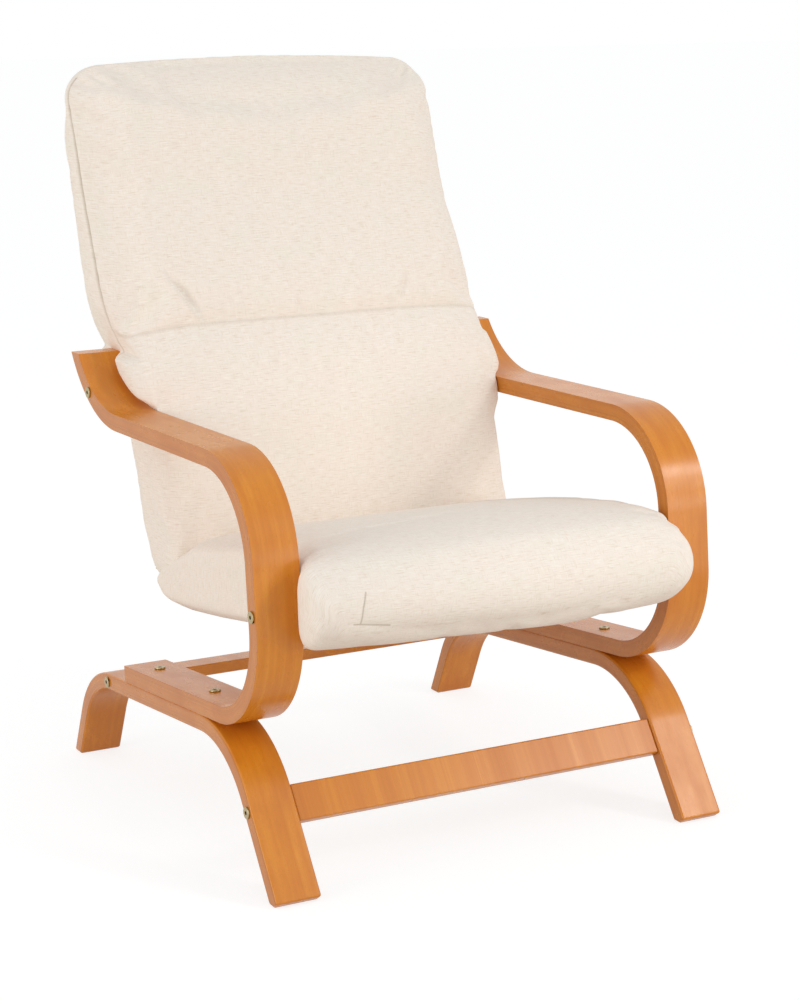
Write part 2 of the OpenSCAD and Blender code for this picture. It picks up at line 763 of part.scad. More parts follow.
module seat_dust_cover() {
    stations = panel_stations(
        seat_station_shares, seat_reach - seat_len, seat_len, rail_back.x, rail_front.x
    );
    under = [
        for (f = stations)
            let (p = seat_point([0, 0], 1 - (seat_reach - f) / seat_len, false), rail = rail_under(f))
            [f, min(p.z, rail - panel_t - seat_gap)]
    ];
    color(cloth) placed() side_plane(0) linear_extrude(2 * rail_out, center = true)
        polygon(concat(under, [for (p = reversed(under)) p + [0, panel_t]]));
}

module back_rear_cover() {
    stations = panel_stations(
        back_station_shares, back_low, back_rise,
        back_low + 4 * panel_t, pocket_top.y - seat_gap
    );
    rear = [
        for (z = stations)
            let (p = back_point([0, 0], (z - back_low) / back_rise, false))
            [min(-p.y, stile_behind(z) - panel_t - seat_gap), z]
    ];
    color(cloth) placed() side_plane(0) linear_extrude(2 * rail_out, center = true)
        polygon(concat(rear, [for (p = reversed(rear)) p + [panel_t, 0]]));
}

arm_bow(-1);  // arm_bow_left
arm_bow(1);  // arm_bow_right
leg_bow(-1);  // leg_bow_left
leg_bow(1);  // leg_bow_right
front_stretcher();
rear_crossrail();
runner_bolts();
runner_sleeve_nuts();
stretcher_bolts();
stretcher_barrel_nuts();
crossrail_bolts();
crossrail_barrel_nuts();
seat_side_bolts();
back_side_bolts();
frame_insert_nuts();
seat_side_rail(-1);  // seat_side_rail_left
seat_side_rail(1);  // seat_side_rail_right
frame_cross(cross_places[0]);  // seat_front_rail
frame_cross(cross_places[1]);  // seat_rear_rail
back_stile(-1);  // back_stile_left
back_stile(1);  // back_stile_right
frame_cross(cross_places[2]);  // back_lumbar_rail
frame_cross(cross_places[3]);  // back_top_rail
frame_dowels();
seat_webbing();
back_webbing();
seat_cushion();
back_cushion();
seat_dust_cover();
back_rear_cover();
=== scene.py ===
# %% [markdown]
# # A cantilever lounge chair
# Two pairs of bent beech strips carry an upholstered seat and back. The CAD model gives
# every piece its place and size. This lesson models the pieces that show once more, with
# the rounded edges, seams and gathers of the real chair, and gives each its finish.

# %% Load the frame
import math

import bpy
import numpy as np
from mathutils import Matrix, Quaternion, Vector


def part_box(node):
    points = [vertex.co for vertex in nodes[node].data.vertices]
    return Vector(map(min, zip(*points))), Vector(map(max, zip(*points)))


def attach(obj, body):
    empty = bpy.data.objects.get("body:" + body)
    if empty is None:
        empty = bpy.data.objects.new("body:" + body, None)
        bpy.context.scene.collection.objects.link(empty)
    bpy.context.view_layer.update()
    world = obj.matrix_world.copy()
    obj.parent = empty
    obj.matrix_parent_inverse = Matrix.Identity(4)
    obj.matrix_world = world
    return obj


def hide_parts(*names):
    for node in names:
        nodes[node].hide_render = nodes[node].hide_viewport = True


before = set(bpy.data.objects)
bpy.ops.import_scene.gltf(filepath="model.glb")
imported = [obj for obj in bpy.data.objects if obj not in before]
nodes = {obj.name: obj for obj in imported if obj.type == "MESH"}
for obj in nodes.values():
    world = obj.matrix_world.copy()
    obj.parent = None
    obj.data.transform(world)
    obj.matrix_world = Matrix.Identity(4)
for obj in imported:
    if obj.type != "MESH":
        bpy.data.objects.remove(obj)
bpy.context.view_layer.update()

# %% [markdown]
# ## Sizes
# The chair's outline is drawn in its side view: forward and up, in millimetres, from mid
# depth on the floor. Forward is -Y in the frame, and the frame tells where mid depth lies.

# %% Units and the side view
MM = 0.001
SEAT_REACH, NOSE_FROM = 372.06, 330
MID_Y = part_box("seat_cushion")[0].y + SEAT_REACH * MM


def side_point(forward, up, x=0.0):
    """A place in the frame, in metres, of a place in the side view, in millimetres."""
    return Vector((x * MM, MID_Y - forward * MM, up * MM))


def side_view(points):
    """Forward and up, in millimetres, of places in metres."""
    return (MID_Y - points[:, 1]) / MM, points[:, 2] / MM


def deselect():
    """Operators act on all that is selected, so each step starts from nothing."""
    bpy.ops.object.select_all(action="DESELECT")


def pick(piece):
    """Makes a piece the only selected and active one."""
    deselect()
    piece.select_set(True)
    bpy.context.view_layer.objects.active = piece


def stand(name, data):
    """A new object in the scene, with its data."""
    thing = bpy.data.objects.new(name, data)
    bpy.context.scene.collection.objects.link(thing)
    return thing


def edit_all(piece):
    """Opens a piece's mesh for editing, with all of it selected."""
    pick(piece)
    bpy.ops.object.mode_set(mode="EDIT")
    bpy.ops.mesh.select_all(action="SELECT")


def finish_with(piece, kind, **settings):
    """Adds a modifier to a piece and applies it."""
    pick(piece)
    modifier = piece.modifiers.new(kind.lower(), kind)
    for key, value in settings.items():
        setattr(modifier, key, value)
    bpy.ops.object.modifier_apply(modifier=modifier.name)


print("Mid depth lies at Y =", round(MID_Y, 4))

# %% [markdown]
# ## Camera
# A camera at the photograph's place: left of the chair, a little above the arms. Its long
# lens keeps the far arm nearly as large as the near one.

# %% Camera
EYE = side_point(2687.1, 1071.5, -1392.1)
AZIMUTH, ELEVATION, ROLL = (math.radians(angle) for angle in (-27.861, 12.59, -0.579))
LENS = 83.81

back_way = Vector((
    math.sin(AZIMUTH) * math.cos(ELEVATION),
    -math.cos(AZIMUTH) * math.cos(ELEVATION),
    math.sin(ELEVATION),
))
camera = stand("camera", bpy.data.cameras.new("camera"))
camera.location = EYE
camera.rotation_mode = "QUATERNION"
level = (-back_way).to_track_quat("-Z", "Y")
camera.rotation_quaternion = level @ Quaternion((0, 0, 1), ROLL)
camera.data.lens = LENS
camera.data.clip_end = 200
bpy.context.scene.camera = camera
bpy.context.scene.view_settings.view_transform = "Standard"

# %% [markdown]
# ## Materials
# A material is a small net of nodes. One function adds a node with its settings and links,
# and one turns a colour as it is read on a screen into the linear light that nodes use.

# %% Node helpers
def linear(colour):
    """Linear RGBA of an sRGB hex colour."""
    parts = [int(colour[i : i + 2], 16) / 255 for i in (1, 3, 5)]
    return [p / 12.92 if p <= 0.04045 else ((p + 0.055) / 1.055) ** 2.4 for p in parts] + [1]


def add(tree, kind, settings=(), **inputs):
    """Adds a node. Its inputs, by name or as i and a number, are values or sockets."""
    node = tree.nodes.new("ShaderNode" + kind)
    for key, value in dict(settings).items():
        setattr(node, key, value)
    for key, value in inputs.items():
        name = key.replace("_", " ")
        socket = node.inputs[int(key[1:])] if key[1:].isdigit() else node.inputs[name]
        if isinstance(value, bpy.types.NodeSocket):
            tree.links.new(value, socket)
        else:
            socket.default_value = value
    return node


def new_material(name):
    """An empty material, its tree and its output node."""
    material = bpy.data.materials.new(name)
    material.use_nodes = True
    tree = material.node_tree
    tree.nodes.clear()
    return material, tree, tree.nodes.new("ShaderNodeOutputMaterial")


def shade(tree, out, strength, depth_mm, height, **inputs):
    """The surface shader over a bump of some strength and depth, joined to the output."""
    bump = add(tree, "Bump", Strength=strength, Distance=depth_mm * MM, Height=height)
    shader = add(tree, "BsdfPrincipled", Normal=bump.outputs[0], **inputs)
    tree.links.new(shader.outputs[0], out.inputs["Surface"])


def ramp(tree, fac, stops):
    """Colours at places along a value."""
    node = add(tree, "ValToRGB", i0=fac)
    elements = node.color_ramp.elements
    while len(elements) < len(stops):
        elements.new(0.5)
    for element, (place, colour) in zip(elements, stops):
        element.position = place
        element.color = linear(colour) if isinstance(colour, str) else [colour] * 3 + [1]
    return node.outputs["Color"]


def stretched(tree, where, sizes_mm):
    """Coordinates in which one unit is so many millimetres along each axis."""
    scale = [1 / (size * MM) for size in sizes_mm]
    return add(tree, "Mapping", i0=where, Scale=scale).outputs[0]


def noise(tree, where, sizes_mm, detail=2.0, roughness=0.5):
    """Noise whose clouds are about so many millimetres long along each axis."""
    where = stretched(tree, where, sizes_mm)
    node = add(tree, "TexNoise", i0=where, Scale=1.0, Detail=detail, Roughness=roughness)
    return node.outputs[0]


def blend_colours(tree, fac, first, second):
    """Two colours mixed by a value. The second may be a hex colour."""
    second = linear(second) if isinstance(second, str) else second
    return add(tree, "Mix", {"data_type": "RGBA"}, i0=fac, i6=first, i7=second).outputs[2]


def calc(tree, operation, first, second=0.0):
    """One sum on values."""
    return add(tree, "Math", {"operation": operation}, i0=first, i1=second).outputs[0]


# %% [markdown]
# ## Lacquered beech
# The strips are beech veneers, glued in a bending mould, stained honey and lacquered satin.
# Beech has no bold figure: it shows faint long streaks and many short, fine flecks. On the
# strips' edges the veneers show as thin lines. The pattern reads each strip's own UV map,
# which holds the run along the strip and the depth through its veneers, so the grain
# follows the bends.

# %% Beech material
VENEER_MM = 1.6
STREAK_MM = (420, 7, VENEER_MM)
FLECK_MM = (7, 1.1, VENEER_MM)
CLOUD_MM = (75, 32, 30)


def beech():
    material, tree, out = new_material("lacquered_beech")
    run = add(tree, "UVMap", {"uv_map": "run"})
    split = add(tree, "SeparateXYZ", i0=run.outputs[0])
    place = add(tree, "SeparateXYZ", i0=add(tree, "TexCoord").outputs["Object"])
    where = add(
        tree, "CombineXYZ", i0=split.outputs[0], i1=place.outputs[0], i2=split.outputs[1]
    ).outputs[0]
    veneers = calc(tree, "MULTIPLY", split.outputs[1], 1 / (VENEER_MM * MM))
    ply = calc(tree, "FLOOR", veneers)
    ply_tone = add(tree, "TexWhiteNoise", {"noise_dimensions": "1D"}, W=ply).outputs[0]
    streaks = noise(tree, where, STREAK_MM, 5.0, 0.6)
    flecks = noise(tree, where, FLECK_MM, 2.0, 0.5)
    clouds = noise(tree, where, CLOUD_MM, 3.0, 0.55)
    colour = ramp(tree, streaks, [(0.25, "#D17E1C"), (0.5, "#D98723"), (0.75, "#E3962F")])
    colour = blend_colours(
        tree, ramp(tree, clouds, [(0.35, 0.0), (0.7, 0.6)]), colour, "#C26B18"
    )
    colour = blend_colours(
        tree, ramp(tree, flecks, [(0.6, 0.0), (0.75, 0.28)]), colour, "#A75618"
    )
    fringe = calc(tree, "FRACT", veneers)
    glue = calc(tree, "MULTIPLY", calc(tree, "LESS_THAN", fringe, 0.2), 0.22)
    facing = add(tree, "SeparateXYZ", i0=add(tree, "NewGeometry").outputs["Normal"]).outputs[0]
    on_edge = calc(tree, "GREATER_THAN", calc(tree, "ABSOLUTE", facing), 0.8)
    plies = calc(tree, "ADD", glue, calc(tree, "MULTIPLY", ply_tone, 0.16))
    tone = calc(tree, "MULTIPLY", calc(tree, "ADD", plies, 0.22), on_edge)
    colour = blend_colours(tree, tone, colour, "#8A4A1A")
    rough = ramp(tree, clouds, [(0.3, 0.25), (0.7, 0.31)])
    shade(
        tree, out, 0.08, 0.4, flecks, Base_Color=colour, Roughness=rough, Specular_IOR_Level=0.44
    )
    return material


BEECH = beech()

# %% [markdown]
# ## Nickel-plated steel
# Bolts and nuts are turned steel, plated with nickel that has yellowed a little, with fine
# turning marks on the heads. Their deep sockets are painted dark, as painted shade.

# %% Steel material
def steel():
    material, tree, out = new_material("nickel_plated_steel")
    place = add(tree, "TexCoord").outputs["Object"]
    marks = noise(tree, place, (0.7, 0.7, 0.7), 3.0)
    colour = ramp(tree, marks, [(0.3, "#9A8964"), (0.7, "#C7B58A")])
    # faces marked as in a socket are painted near black: painted shade in the recess
    socket = add(tree, "Attribute", {"attribute_name": "socket"}).outputs["Fac"]
    colour = blend_colours(tree, socket, colour, "#2B241B")
    rough = ramp(tree, marks, [(0.3, 0.24), (0.7, 0.4)])
    shade(tree, out, 0.2, 0.1, marks, Base_Color=colour, Roughness=rough, Metallic=1.0)
    return material


STEEL = steel()

# %% [markdown]
# ## Ecru slub weave
# The cover is a plain weave of cotton and linen yarns, whose thickness varies: slubs show
# as short pale and grey-beige dashes, along both directions. Its yarns are about 1 mm
# apart. Drawn at that size they would vanish in the render, so they are 1.7 mm here.

# %% Weave material
YARN_MM, TUCK_MM, TUCK_SHADE = 1.7, 1.5, 0.45
WARP_MM = (1.3, 11, 40)
WEFT_MM = (15, 1.3, 40)


def stitch_and_shade_line(tree, place, start, end, width_mm):
    """1 on a short line of stitching and painted shade between two places (across, up) on the
    seat's front, 0 beside it.
    """
    a, b = (Vector((x, 0, z)) * MM for x, z in (start, end))
    flat = add(tree, "VectorMath", {"operation": "MULTIPLY"}, i0=place, i1=(1, 0, 1)).outputs[0]
    off = add(tree, "VectorMath", {"operation": "SUBTRACT"}, i0=flat, i1=a).outputs[0]
    way = (b - a) / (b - a).length_squared
    share = add(tree, "VectorMath", {"operation": "DOT_PRODUCT"}, i0=off, i1=way).outputs["Value"]
    share = add(tree, "Clamp", i0=share).outputs[0]
    nearest = add(tree, "VectorMath", {"operation": "SCALE"}, i0=b - a, Scale=share).outputs[0]
    away = add(tree, "VectorMath", {"operation": "DISTANCE"}, i0=off, i1=nearest).outputs["Value"]
    line = add(tree, "MapRange", i0=away, i1=0.3 * width_mm * MM, i2=width_mm * MM, i3=1.0, i4=0.0)
    y = add(tree, "SeparateXYZ", i0=place).outputs[1]
    in_front = calc(tree, "LESS_THAN", y, MID_Y - NOSE_FROM * MM)
    return calc(tree, "MULTIPLY", line.outputs[0], in_front)


def weave(name="ecru_slub_weave", shaded_tucks=()):
    material, tree, out = new_material(name)
    where = add(tree, "UVMap", {"uv_map": "cloth"}).outputs[0]
    warp = noise(tree, where, WARP_MM, 2.0, 0.6)
    weft = noise(tree, where, WEFT_MM, 2.0, 0.6)
    broad = noise(tree, where, (55, 45, 60), 3.0)
    colour = ramp(tree, broad, [(0.32, "#F2E6DA"), (0.5, "#F2E7DB"), (0.68, "#F0E7DA")])
    pale = calc(tree, "MAXIMUM", ramp(tree, warp, [(0.58, 0.0), (0.74, 0.5)]),
                ramp(tree, weft, [(0.56, 0.0), (0.72, 0.7)]))
    dark = calc(tree, "MAXIMUM", ramp(tree, warp, [(0.26, 0.45), (0.43, 0.0)]),
                ramp(tree, weft, [(0.28, 0.6), (0.45, 0.0)]))
    colour = blend_colours(tree, dark, colour, "#D8C6AF")
    colour = blend_colours(tree, pale, colour, "#FCF7EC")
    seam = add(tree, "Attribute", {"attribute_name": "seam"}).outputs["Fac"]
    place = add(tree, "TexCoord").outputs["Object"]
    # each tuck's line darkens the weave: stitching, and painted shade in the tuck's crease
    for start, end in shaded_tucks:
        line = stitch_and_shade_line(tree, place, start, end, TUCK_MM)
        seam = calc(tree, "MAXIMUM", seam, calc(tree, "MULTIPLY", line, TUCK_SHADE))
    # seams and tucks are darkened towards #9F8A72: stitch thread, and painted shade in their
    # creases
    colour = blend_colours(tree, seam, colour, "#9F8A72")
    split = add(tree, "SeparateXYZ", i0=stretched(tree, where, (YARN_MM,) * 3))
    over, under = (
        calc(tree, "SINE", calc(tree, "MULTIPLY", split.outputs[n], math.pi)) for n in (0, 1)
    )
    yarns = calc(tree, "ABSOLUTE", calc(tree, "MULTIPLY", over, under))
    height = calc(tree, "ADD", calc(tree, "MULTIPLY", yarns, 0.5), calc(tree, "ADD", warp, weft))
    height = calc(tree, "SUBTRACT", height, calc(tree, "MULTIPLY", seam, 1.5))
    shade(
        tree, out, 0.35, 0.6, height, Base_Color=colour, Roughness=0.92,
        Sheen_Weight=0.12, Sheen_Roughness=0.5, Specular_IOR_Level=0.25,
    )
    return material


WEAVE = weave()

# %% [markdown]
# ## Studio
# A pale floor and a white surround fill every shadow softly. A key lamp at the front right
# gives the arms their gleam and the faint shadow that the right arm casts on the back. A
# low front lamp lights the uprights, a broad one at the left lights the sides, and a small
# high one gives the front legs their glare. A soft spot lifts the shade where the seat
# meets the back.

# %% Floor, surround and lamps
FILL, CEILING = 0.78, "#F0F3F6"
PAINT, PAINT_SEEN, GLOW_SEEN = "#DDD6CE", 0.3, 0.775
FLOOR_SIZE, CHAIR_MIDDLE = 60, (0, 0, 0.45)
LAMPS = {
    # name: azimuth, distance over the floor, height, width and length in metres, watts
    "key": (37, 4.4, 2.1, 0.6, 1.2, 14),
    "front": (29, 3.9, 0.64, 0.9, 0.8, 16),
    "left": (-80, 4.0, 1.1, 1.8, 2.0, 43),
    "high": (41.5, 3.92, 2.83, 0.6, 0.6, 25),
}
CREASE, SPOT_FROM = (0.09, 0.08, 0.38), (0.05, -3.0, 1.5)
SPOT_R, SPOT_CONE, SPOT_WATTS = 0.25, 10.5, 55


def seen(tree):
    """1 for rays that come from the camera, or by way of metal or glass."""
    path = add(tree, "LightPath").outputs
    return calc(
        tree, "MAXIMUM", path["Is Camera Ray"],
        calc(tree, "MAXIMUM", path["Is Glossy Ray"], path["Is Transmission Ray"]),
    )


def light_surround():
    """A surround that is white to the eye, and whose light is dimmer and cooler overhead."""
    world = bpy.data.worlds.new("surround")
    bpy.context.scene.world = world
    world.use_nodes = True
    tree = world.node_tree
    tree.nodes.clear()
    height = add(tree, "SeparateXYZ", i0=add(tree, "TexCoord").outputs["Generated"]).outputs[2]
    sky = ramp(tree, height, [(0.3, "#FFFFFF"), (0.8, CEILING)])
    eye = seen(tree)
    strength = calc(tree, "ADD", calc(tree, "MULTIPLY", eye, 1 - FILL), FILL)
    light = add(
        tree, "Background", Color=blend_colours(tree, eye, sky, [1, 1, 1, 1]), Strength=strength
    )
    tree.links.new(light.outputs[0], tree.nodes.new("ShaderNodeOutputWorld").inputs[0])


def lay_floor():
    """A floor that looks nearly white, keeps a faint shadow and throws some light back."""
    deselect()
    bpy.ops.mesh.primitive_plane_add(size=FLOOR_SIZE)
    floor = bpy.context.object
    floor.name = "floor"
    material, tree, out = new_material("white_floor")
    plain = add(tree, "BsdfDiffuse", Color=linear(PAINT))
    paint = add(tree, "BsdfDiffuse", Color=[PAINT_SEEN, PAINT_SEEN, PAINT_SEEN, 1])
    glow = add(tree, "Emission", Strength=GLOW_SEEN)
    pale = add(tree, "AddShader", i0=paint.outputs[0], i1=glow.outputs[0])
    both = add(tree, "MixShader", i0=seen(tree), i1=plain.outputs[0], i2=pale.outputs[0])
    tree.links.new(both.outputs[0], out.inputs["Surface"])
    floor.data.materials.append(material)


def hang(data, watts, place, target):
    """Hangs a lamp at a place, with its light toward a target."""
    data.energy = watts
    lamp = stand(data.name, data)
    lamp.location = place
    aim = Vector(target) - lamp.location
    lamp.rotation_euler = aim.to_track_quat("-Z", "Y").to_euler()


def hang_lamp(name, azimuth, distance, height, width, length, watts):
    """A rectangular lamp that looks at the middle of the chair."""
    data = bpy.data.lights.new(name, "AREA")
    data.shape = "RECTANGLE"
    data.size, data.size_y = width, length
    a = math.radians(azimuth)
    hang(data, watts, (distance * math.sin(a), -distance * math.cos(a), height), CHAIR_MIDDLE)


def hang_spot():
    """A soft spot that lifts the shade in the crease between the seat and the back."""
    data = bpy.data.lights.new("crease", "SPOT")
    data.shadow_soft_size, data.spot_blend = SPOT_R, 1
    data.spot_size = math.radians(SPOT_CONE)
    hang(data, SPOT_WATTS, SPOT_FROM, CREASE)


light_surround()
lay_floor()
for name, values in LAMPS.items():
    hang_lamp(name, *values)
hang_spot()
print("Lamps:", ", ".join(LAMPS), "and a spot")

# %% [markdown]
# ## Bent strips
# Each strip is glued up from flat veneers in a mould, so it is a row of straight runs and
# round bends with the same section all along. By hand: lay a plane of the section at one
# end, extrude it along each run and spin it round each bend, cut the ends level, then
# round the edges with a bevel. A path piece is (0, run) or (radius, turn in degrees).

# %% Strip sizes and paths
STRIP_HALF_GAP = 290
STRIP_W, STRIP_T, EDGE_R = 60, 22, 3.2
SEAM_H, RISE = 170, 5.7
FRONT_RUN, REAR_RUN = 117, 202
FRONT_PATH = [(0, FRONT_RUN), (146, 35.6 - 90 - RISE), (0, 135)]
REAR_PATH = [(123, 90 - 25.7 - RISE), (0, 90)]
ARM_BACK_RUN = 134
ARM_PATH = [
    (0, 317), (120, 90 + 5 - RISE), (0, 76), (121, 181.2 - 95),
    (0, 294), (169, 180 - 60 - 181.2), (0, 40),
]
TAB_TOP = 583
# degrees between two sections in a bend, and how close vertices are when they are merged
STEP, MERGE_MM = 2, 0.01


def turned(state, radius, value):
    """The state (forward, up, heading) at the end of one path piece."""
    f, h, heading = state
    a = math.radians(heading)
    if radius == 0:
        return f + value * math.cos(a), h + value * math.sin(a), heading
    k, b = math.copysign(radius, value), math.radians(heading + value)
    forward, up = k * (math.sin(b) - math.sin(a)), k * (math.cos(a) - math.cos(b))
    return f + forward, h + up, heading + value


def walk(state, path):
    """The states at the start of each piece and at the end of the last."""
    states = [state]
    for piece in path:
        states.append(turned(states[-1], *piece))
    return states


def middle_state(offset, run, heading):
    """A state on a strip's middle line, above or below the seam between the strips."""
    a = math.radians(RISE)
    f = -math.sin(a) * offset + math.cos(a) * run
    h = SEAM_H + math.cos(a) * offset + math.sin(a) * run
    return f, h, heading


def flipped(path):
    """The same path walked the other way."""
    return [(radius, -value if radius else value) for radius, value in reversed(path)]


ARM_START = middle_state(STRIP_T / 2, -ARM_BACK_RUN, RISE)
front_foot = walk(middle_state(-STRIP_T / 2, 0, RISE), FRONT_PATH)[-1]
LEG_START = (front_foot[0], front_foot[1], front_foot[2] + 180)
LEG_PATH = flipped(FRONT_PATH[1:]) + [(0, FRONT_RUN + REAR_RUN)] + REAR_PATH


# %% Bend a strip
def size_new(name, *sides_mm):
    """Names the piece that was just added and gives it its size."""
    piece = bpy.context.object
    piece.name = name
    piece.scale = [side * MM for side in sides_mm]
    bpy.ops.object.transform_apply(location=True, rotation=True, scale=True)
    return piece


def sweep_strip(name, x, state, path):
    """Extrudes and spins the strip's section along a path."""
    deselect()
    bpy.ops.mesh.primitive_plane_add(
        size=1, location=side_point(*state[:2], x),
        rotation=(math.radians(90 - state[2]), 0, 0),
    )
    strip = size_new(name, STRIP_W, STRIP_T, 1)
    edit_all(strip)
    for radius, value in path:
        ahead = turned(state, radius, value)
        if radius == 0:
            move = side_point(*ahead[:2]) - side_point(*state[:2])
            bpy.ops.mesh.extrude_region_move(TRANSFORM_OT_translate={"value": move})
        else:
            a, k = math.radians(state[2]), math.copysign(radius, value)
            centre = side_point(state[0] - k * math.sin(a), state[1] + k * math.cos(a), x)
            bpy.ops.mesh.spin(
                steps=round(abs(value) / STEP), angle=math.radians(value), center=centre,
                axis=(1, 0, 0),
            )
        state = ahead
    bpy.ops.object.mode_set(mode="OBJECT")
    return strip


def cut_level(strip, height, keep_above):
    """Cuts a strip's end off level and closes the cut."""
    edit_all(strip)
    bpy.ops.mesh.bisect(
        plane_co=(0, 0, height * MM), plane_no=(0, 0, 1), use_fill=True,
        clear_inner=keep_above, clear_outer=not keep_above,
    )
    bpy.ops.object.mode_set(mode="OBJECT")


def tidy_normals(piece):
    """Merges doubles and turns every face outwards."""
    edit_all(piece)
    bpy.ops.mesh.remove_doubles(threshold=MERGE_MM * MM)
    bpy.ops.mesh.normals_make_consistent(inside=False)
    bpy.ops.object.mode_set(mode="OBJECT")


def round_edges(piece, radius_mm, segments=4):
    """Rounds every sharp edge, and shades the flats flat and the rounds round."""
    finish_with(
        piece, "BEVEL", width=radius_mm * MM, segments=segments, limit_method="ANGLE",
        angle_limit=math.radians(40),
    )
    pick(piece)
    bpy.ops.object.shade_smooth_by_angle(angle=math.radians(35))
    finish_with(piece, "WEIGHTED_NORMAL", keep_sharp=True, weight=80)


def beside_path(points, state, path):
    """For points in metres: the run along a path, and the depth and distance beside it, in mm."""
    f, h = side_view(points)
    best = np.full(len(f), np.inf)
    run, depth = np.zeros(len(f)), np.zeros(len(f))
    length = 0
    for (f0, h0, heading), (radius, value) in zip(walk(state, path), path):
        a = math.radians(heading)
        if radius == 0:
            s = (f - f0) * math.cos(a) + (h - h0) * math.sin(a)
            d = -(f - f0) * math.sin(a) + (h - h0) * math.cos(a)
            whole = value
        else:
            k = math.copysign(1, value)
            cf, ch = f0 - k * radius * math.sin(a), h0 + k * radius * math.cos(a)
            start = math.atan2(h0 - ch, f0 - cf)
            angle = (k * (np.arctan2(h - ch, f - cf) - start) + math.pi) % math.tau - math.pi
            s = angle * radius
            d = k * (radius - np.hypot(f - cf, h - ch))
            whole = abs(math.radians(value)) * radius
        past = np.maximum(0, np.maximum(-s, s - whole))
        away = np.hypot(past, d)
        closer = away < best
        best[closer], run[closer], depth[closer] = away[closer], (length + s)[closer], d[closer]
        length += whole
    return run, depth, best, length


def vertex_places(mesh):
    """All the vertices of a mesh, as rows of x, y, z."""
    points = np.empty(len(mesh.vertices) * 3)
    mesh.vertices.foreach_get("co", points)
    return points.reshape(-1, 3)


def write_uv(mesh, name, places):
    """Writes a UV map from two values in metres for each vertex."""
    layer = mesh.uv_layers.new(name=name)
    loops = np.empty(len(mesh.loops), int)
    mesh.loops.foreach_get("vertex_index", loops)
    layer.data.foreach_set("uv", places[loops].ravel())
    return layer


def map_run(strip, state, path):
    """Writes the run along the path and the depth beside it to a UV map."""
    run, depth, _, length = beside_path(vertex_places(strip.data), state, path)
    write_uv(strip.data, "run", np.stack([run, depth], 1) * MM)
    return length


def finish_piece(piece, material, slot, *replaced):
    """Gives a piece its material and its body, and hides the CAD nodes that it stands for. The
    slot is not used.
    """
    piece.data.materials.clear()
    piece.data.materials.append(material)
    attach(piece, "root")
    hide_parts(*replaced)


# %% Make the four strips
for side, word in ((-1, "left"), (1, "right")):
    arm = sweep_strip(f"bent_arm_{word}", side * STRIP_HALF_GAP, ARM_START, ARM_PATH)
    cut_level(arm, TAB_TOP, keep_above=False)
    leg = sweep_strip(f"bent_leg_{word}", side * STRIP_HALF_GAP, LEG_START, LEG_PATH)
    cut_level(leg, 0, keep_above=True)
    for strip, start, path, node in (
        (arm, ARM_START, ARM_PATH, "arm_bow"), (leg, LEG_START, LEG_PATH, "leg_bow")
    ):
        tidy_normals(strip)
        round_edges(strip, EDGE_R)
        length = map_run(strip, start, path)
        finish_piece(strip, BEECH, "lacquered_beech", f"{node}_{word}")
        print(strip.name, "is a strip of", round(length), "mm")

# %% [markdown]
# ## Cross rails
# Two flat rails hold the sides apart, one between the front legs and one between the rear
# bends. Each is a bar with rounded edges, turned to the slope of its CAD node.

# %% Make the cross rails
RAIL_DEPTH, RAIL_T, RAIL_EDGE = 47, 16, 2.2
INNER_HALF = 260
STRETCHER_SLOPE, CROSSRAIL_SLOPE = -54.4, 5.7


def cross_rail(name, node, slope):
    """A bar in the middle of its CAD node's box, turned by the node's slope."""
    low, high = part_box(node)
    middle = (low + high) / 2
    deselect()
    bpy.ops.mesh.primitive_cube_add(
        size=1, location=middle, rotation=(-math.radians(slope), 0, 0)
    )
    rail = size_new(name, 2 * INNER_HALF, RAIL_DEPTH, RAIL_T)
    round_edges(rail, RAIL_EDGE)
    a = math.radians(slope)
    x, y, z = (vertex_places(rail.data) - np.array(middle)).T
    write_uv(rail.data, "run", np.stack([x, y * math.sin(a) + z * math.cos(a)], 1))
    finish_piece(rail, BEECH, "lacquered_beech", node)


cross_rail("stretcher_bar", "front_stretcher", STRETCHER_SLOPE)
cross_rail("crossrail_bar", "rear_crossrail", CROSSRAIL_SLOPE)

# %% [markdown]
# ## Padded pieces
# The back and the seat are foam on a hidden frame, in a tight cloth cover. Each starts as a
# box of even cells. Its cells are then laid on the pad's side profile and its corners are
# rounded, and the unrolled widths of the cloth are kept as a UV map, so that the weave runs
# on round the corners. A cloth simulation with a little air pressure swells the cover
# between its seams, and the seams are drawn in afterwards.

# %% Box of cells
NEAR_SEAM_MM = (2.2, 5.5, 10)


def new_piece(name, places, faces):
    """A new object of the given places and faces."""
    mesh = bpy.data.meshes.new(name)
    mesh.from_pydata(places, [], faces)
    return stand(name, mesh)


def lattice(name, xs, ls, ts):
    """A closed box of cells: across, along and through the pad. Returns it with its places."""
    places, index, faces, behind = [], {}, [], []
    last = (len(xs) - 1, len(ls) - 1, len(ts) - 1)
    for i, x in enumerate(xs):
        for j, run in enumerate(ls):
            for k, t in enumerate(ts):
                if i in (0, last[0]) or j in (0, last[1]) or k in (0, last[2]):
                    index[i, j, k] = len(places)
                    places.append((x, run, t))
    for axis in range(3):
        u, v = [a for a in range(3) if a != axis]
        for end in (0, last[axis]):
            for p in range(last[u]):
                for q in range(last[v]):
                    corners = []
                    for dp, dq in ((0, 0), (1, 0), (1, 1), (0, 1)):
                        place = [end, end, end]
                        place[u], place[v] = p + dp, q + dq
                        corners.append(index[tuple(place)])
                    faces.append(corners)
                    behind.append(axis == 2 and end == 0)
    return new_piece(name, places, faces), np.array(places), np.array(behind)


def eased(value):
    """A smooth step from 0 to 1."""
    t = np.clip(value, 0, 1)
    return t * t * (3 - 2 * t)


def profile(rows, share, blur=0.035):
    """The value of a table of rows at a share of the length, with its corners smoothed."""
    keys, values = zip(*rows)
    steps = np.linspace(-blur, blur, 9)
    weights = 1 - np.abs(steps) / (1.25 * blur)
    parts = (w * np.interp(share + d, keys, values) for w, d in zip(weights, steps))
    return sum(parts) / sum(weights)


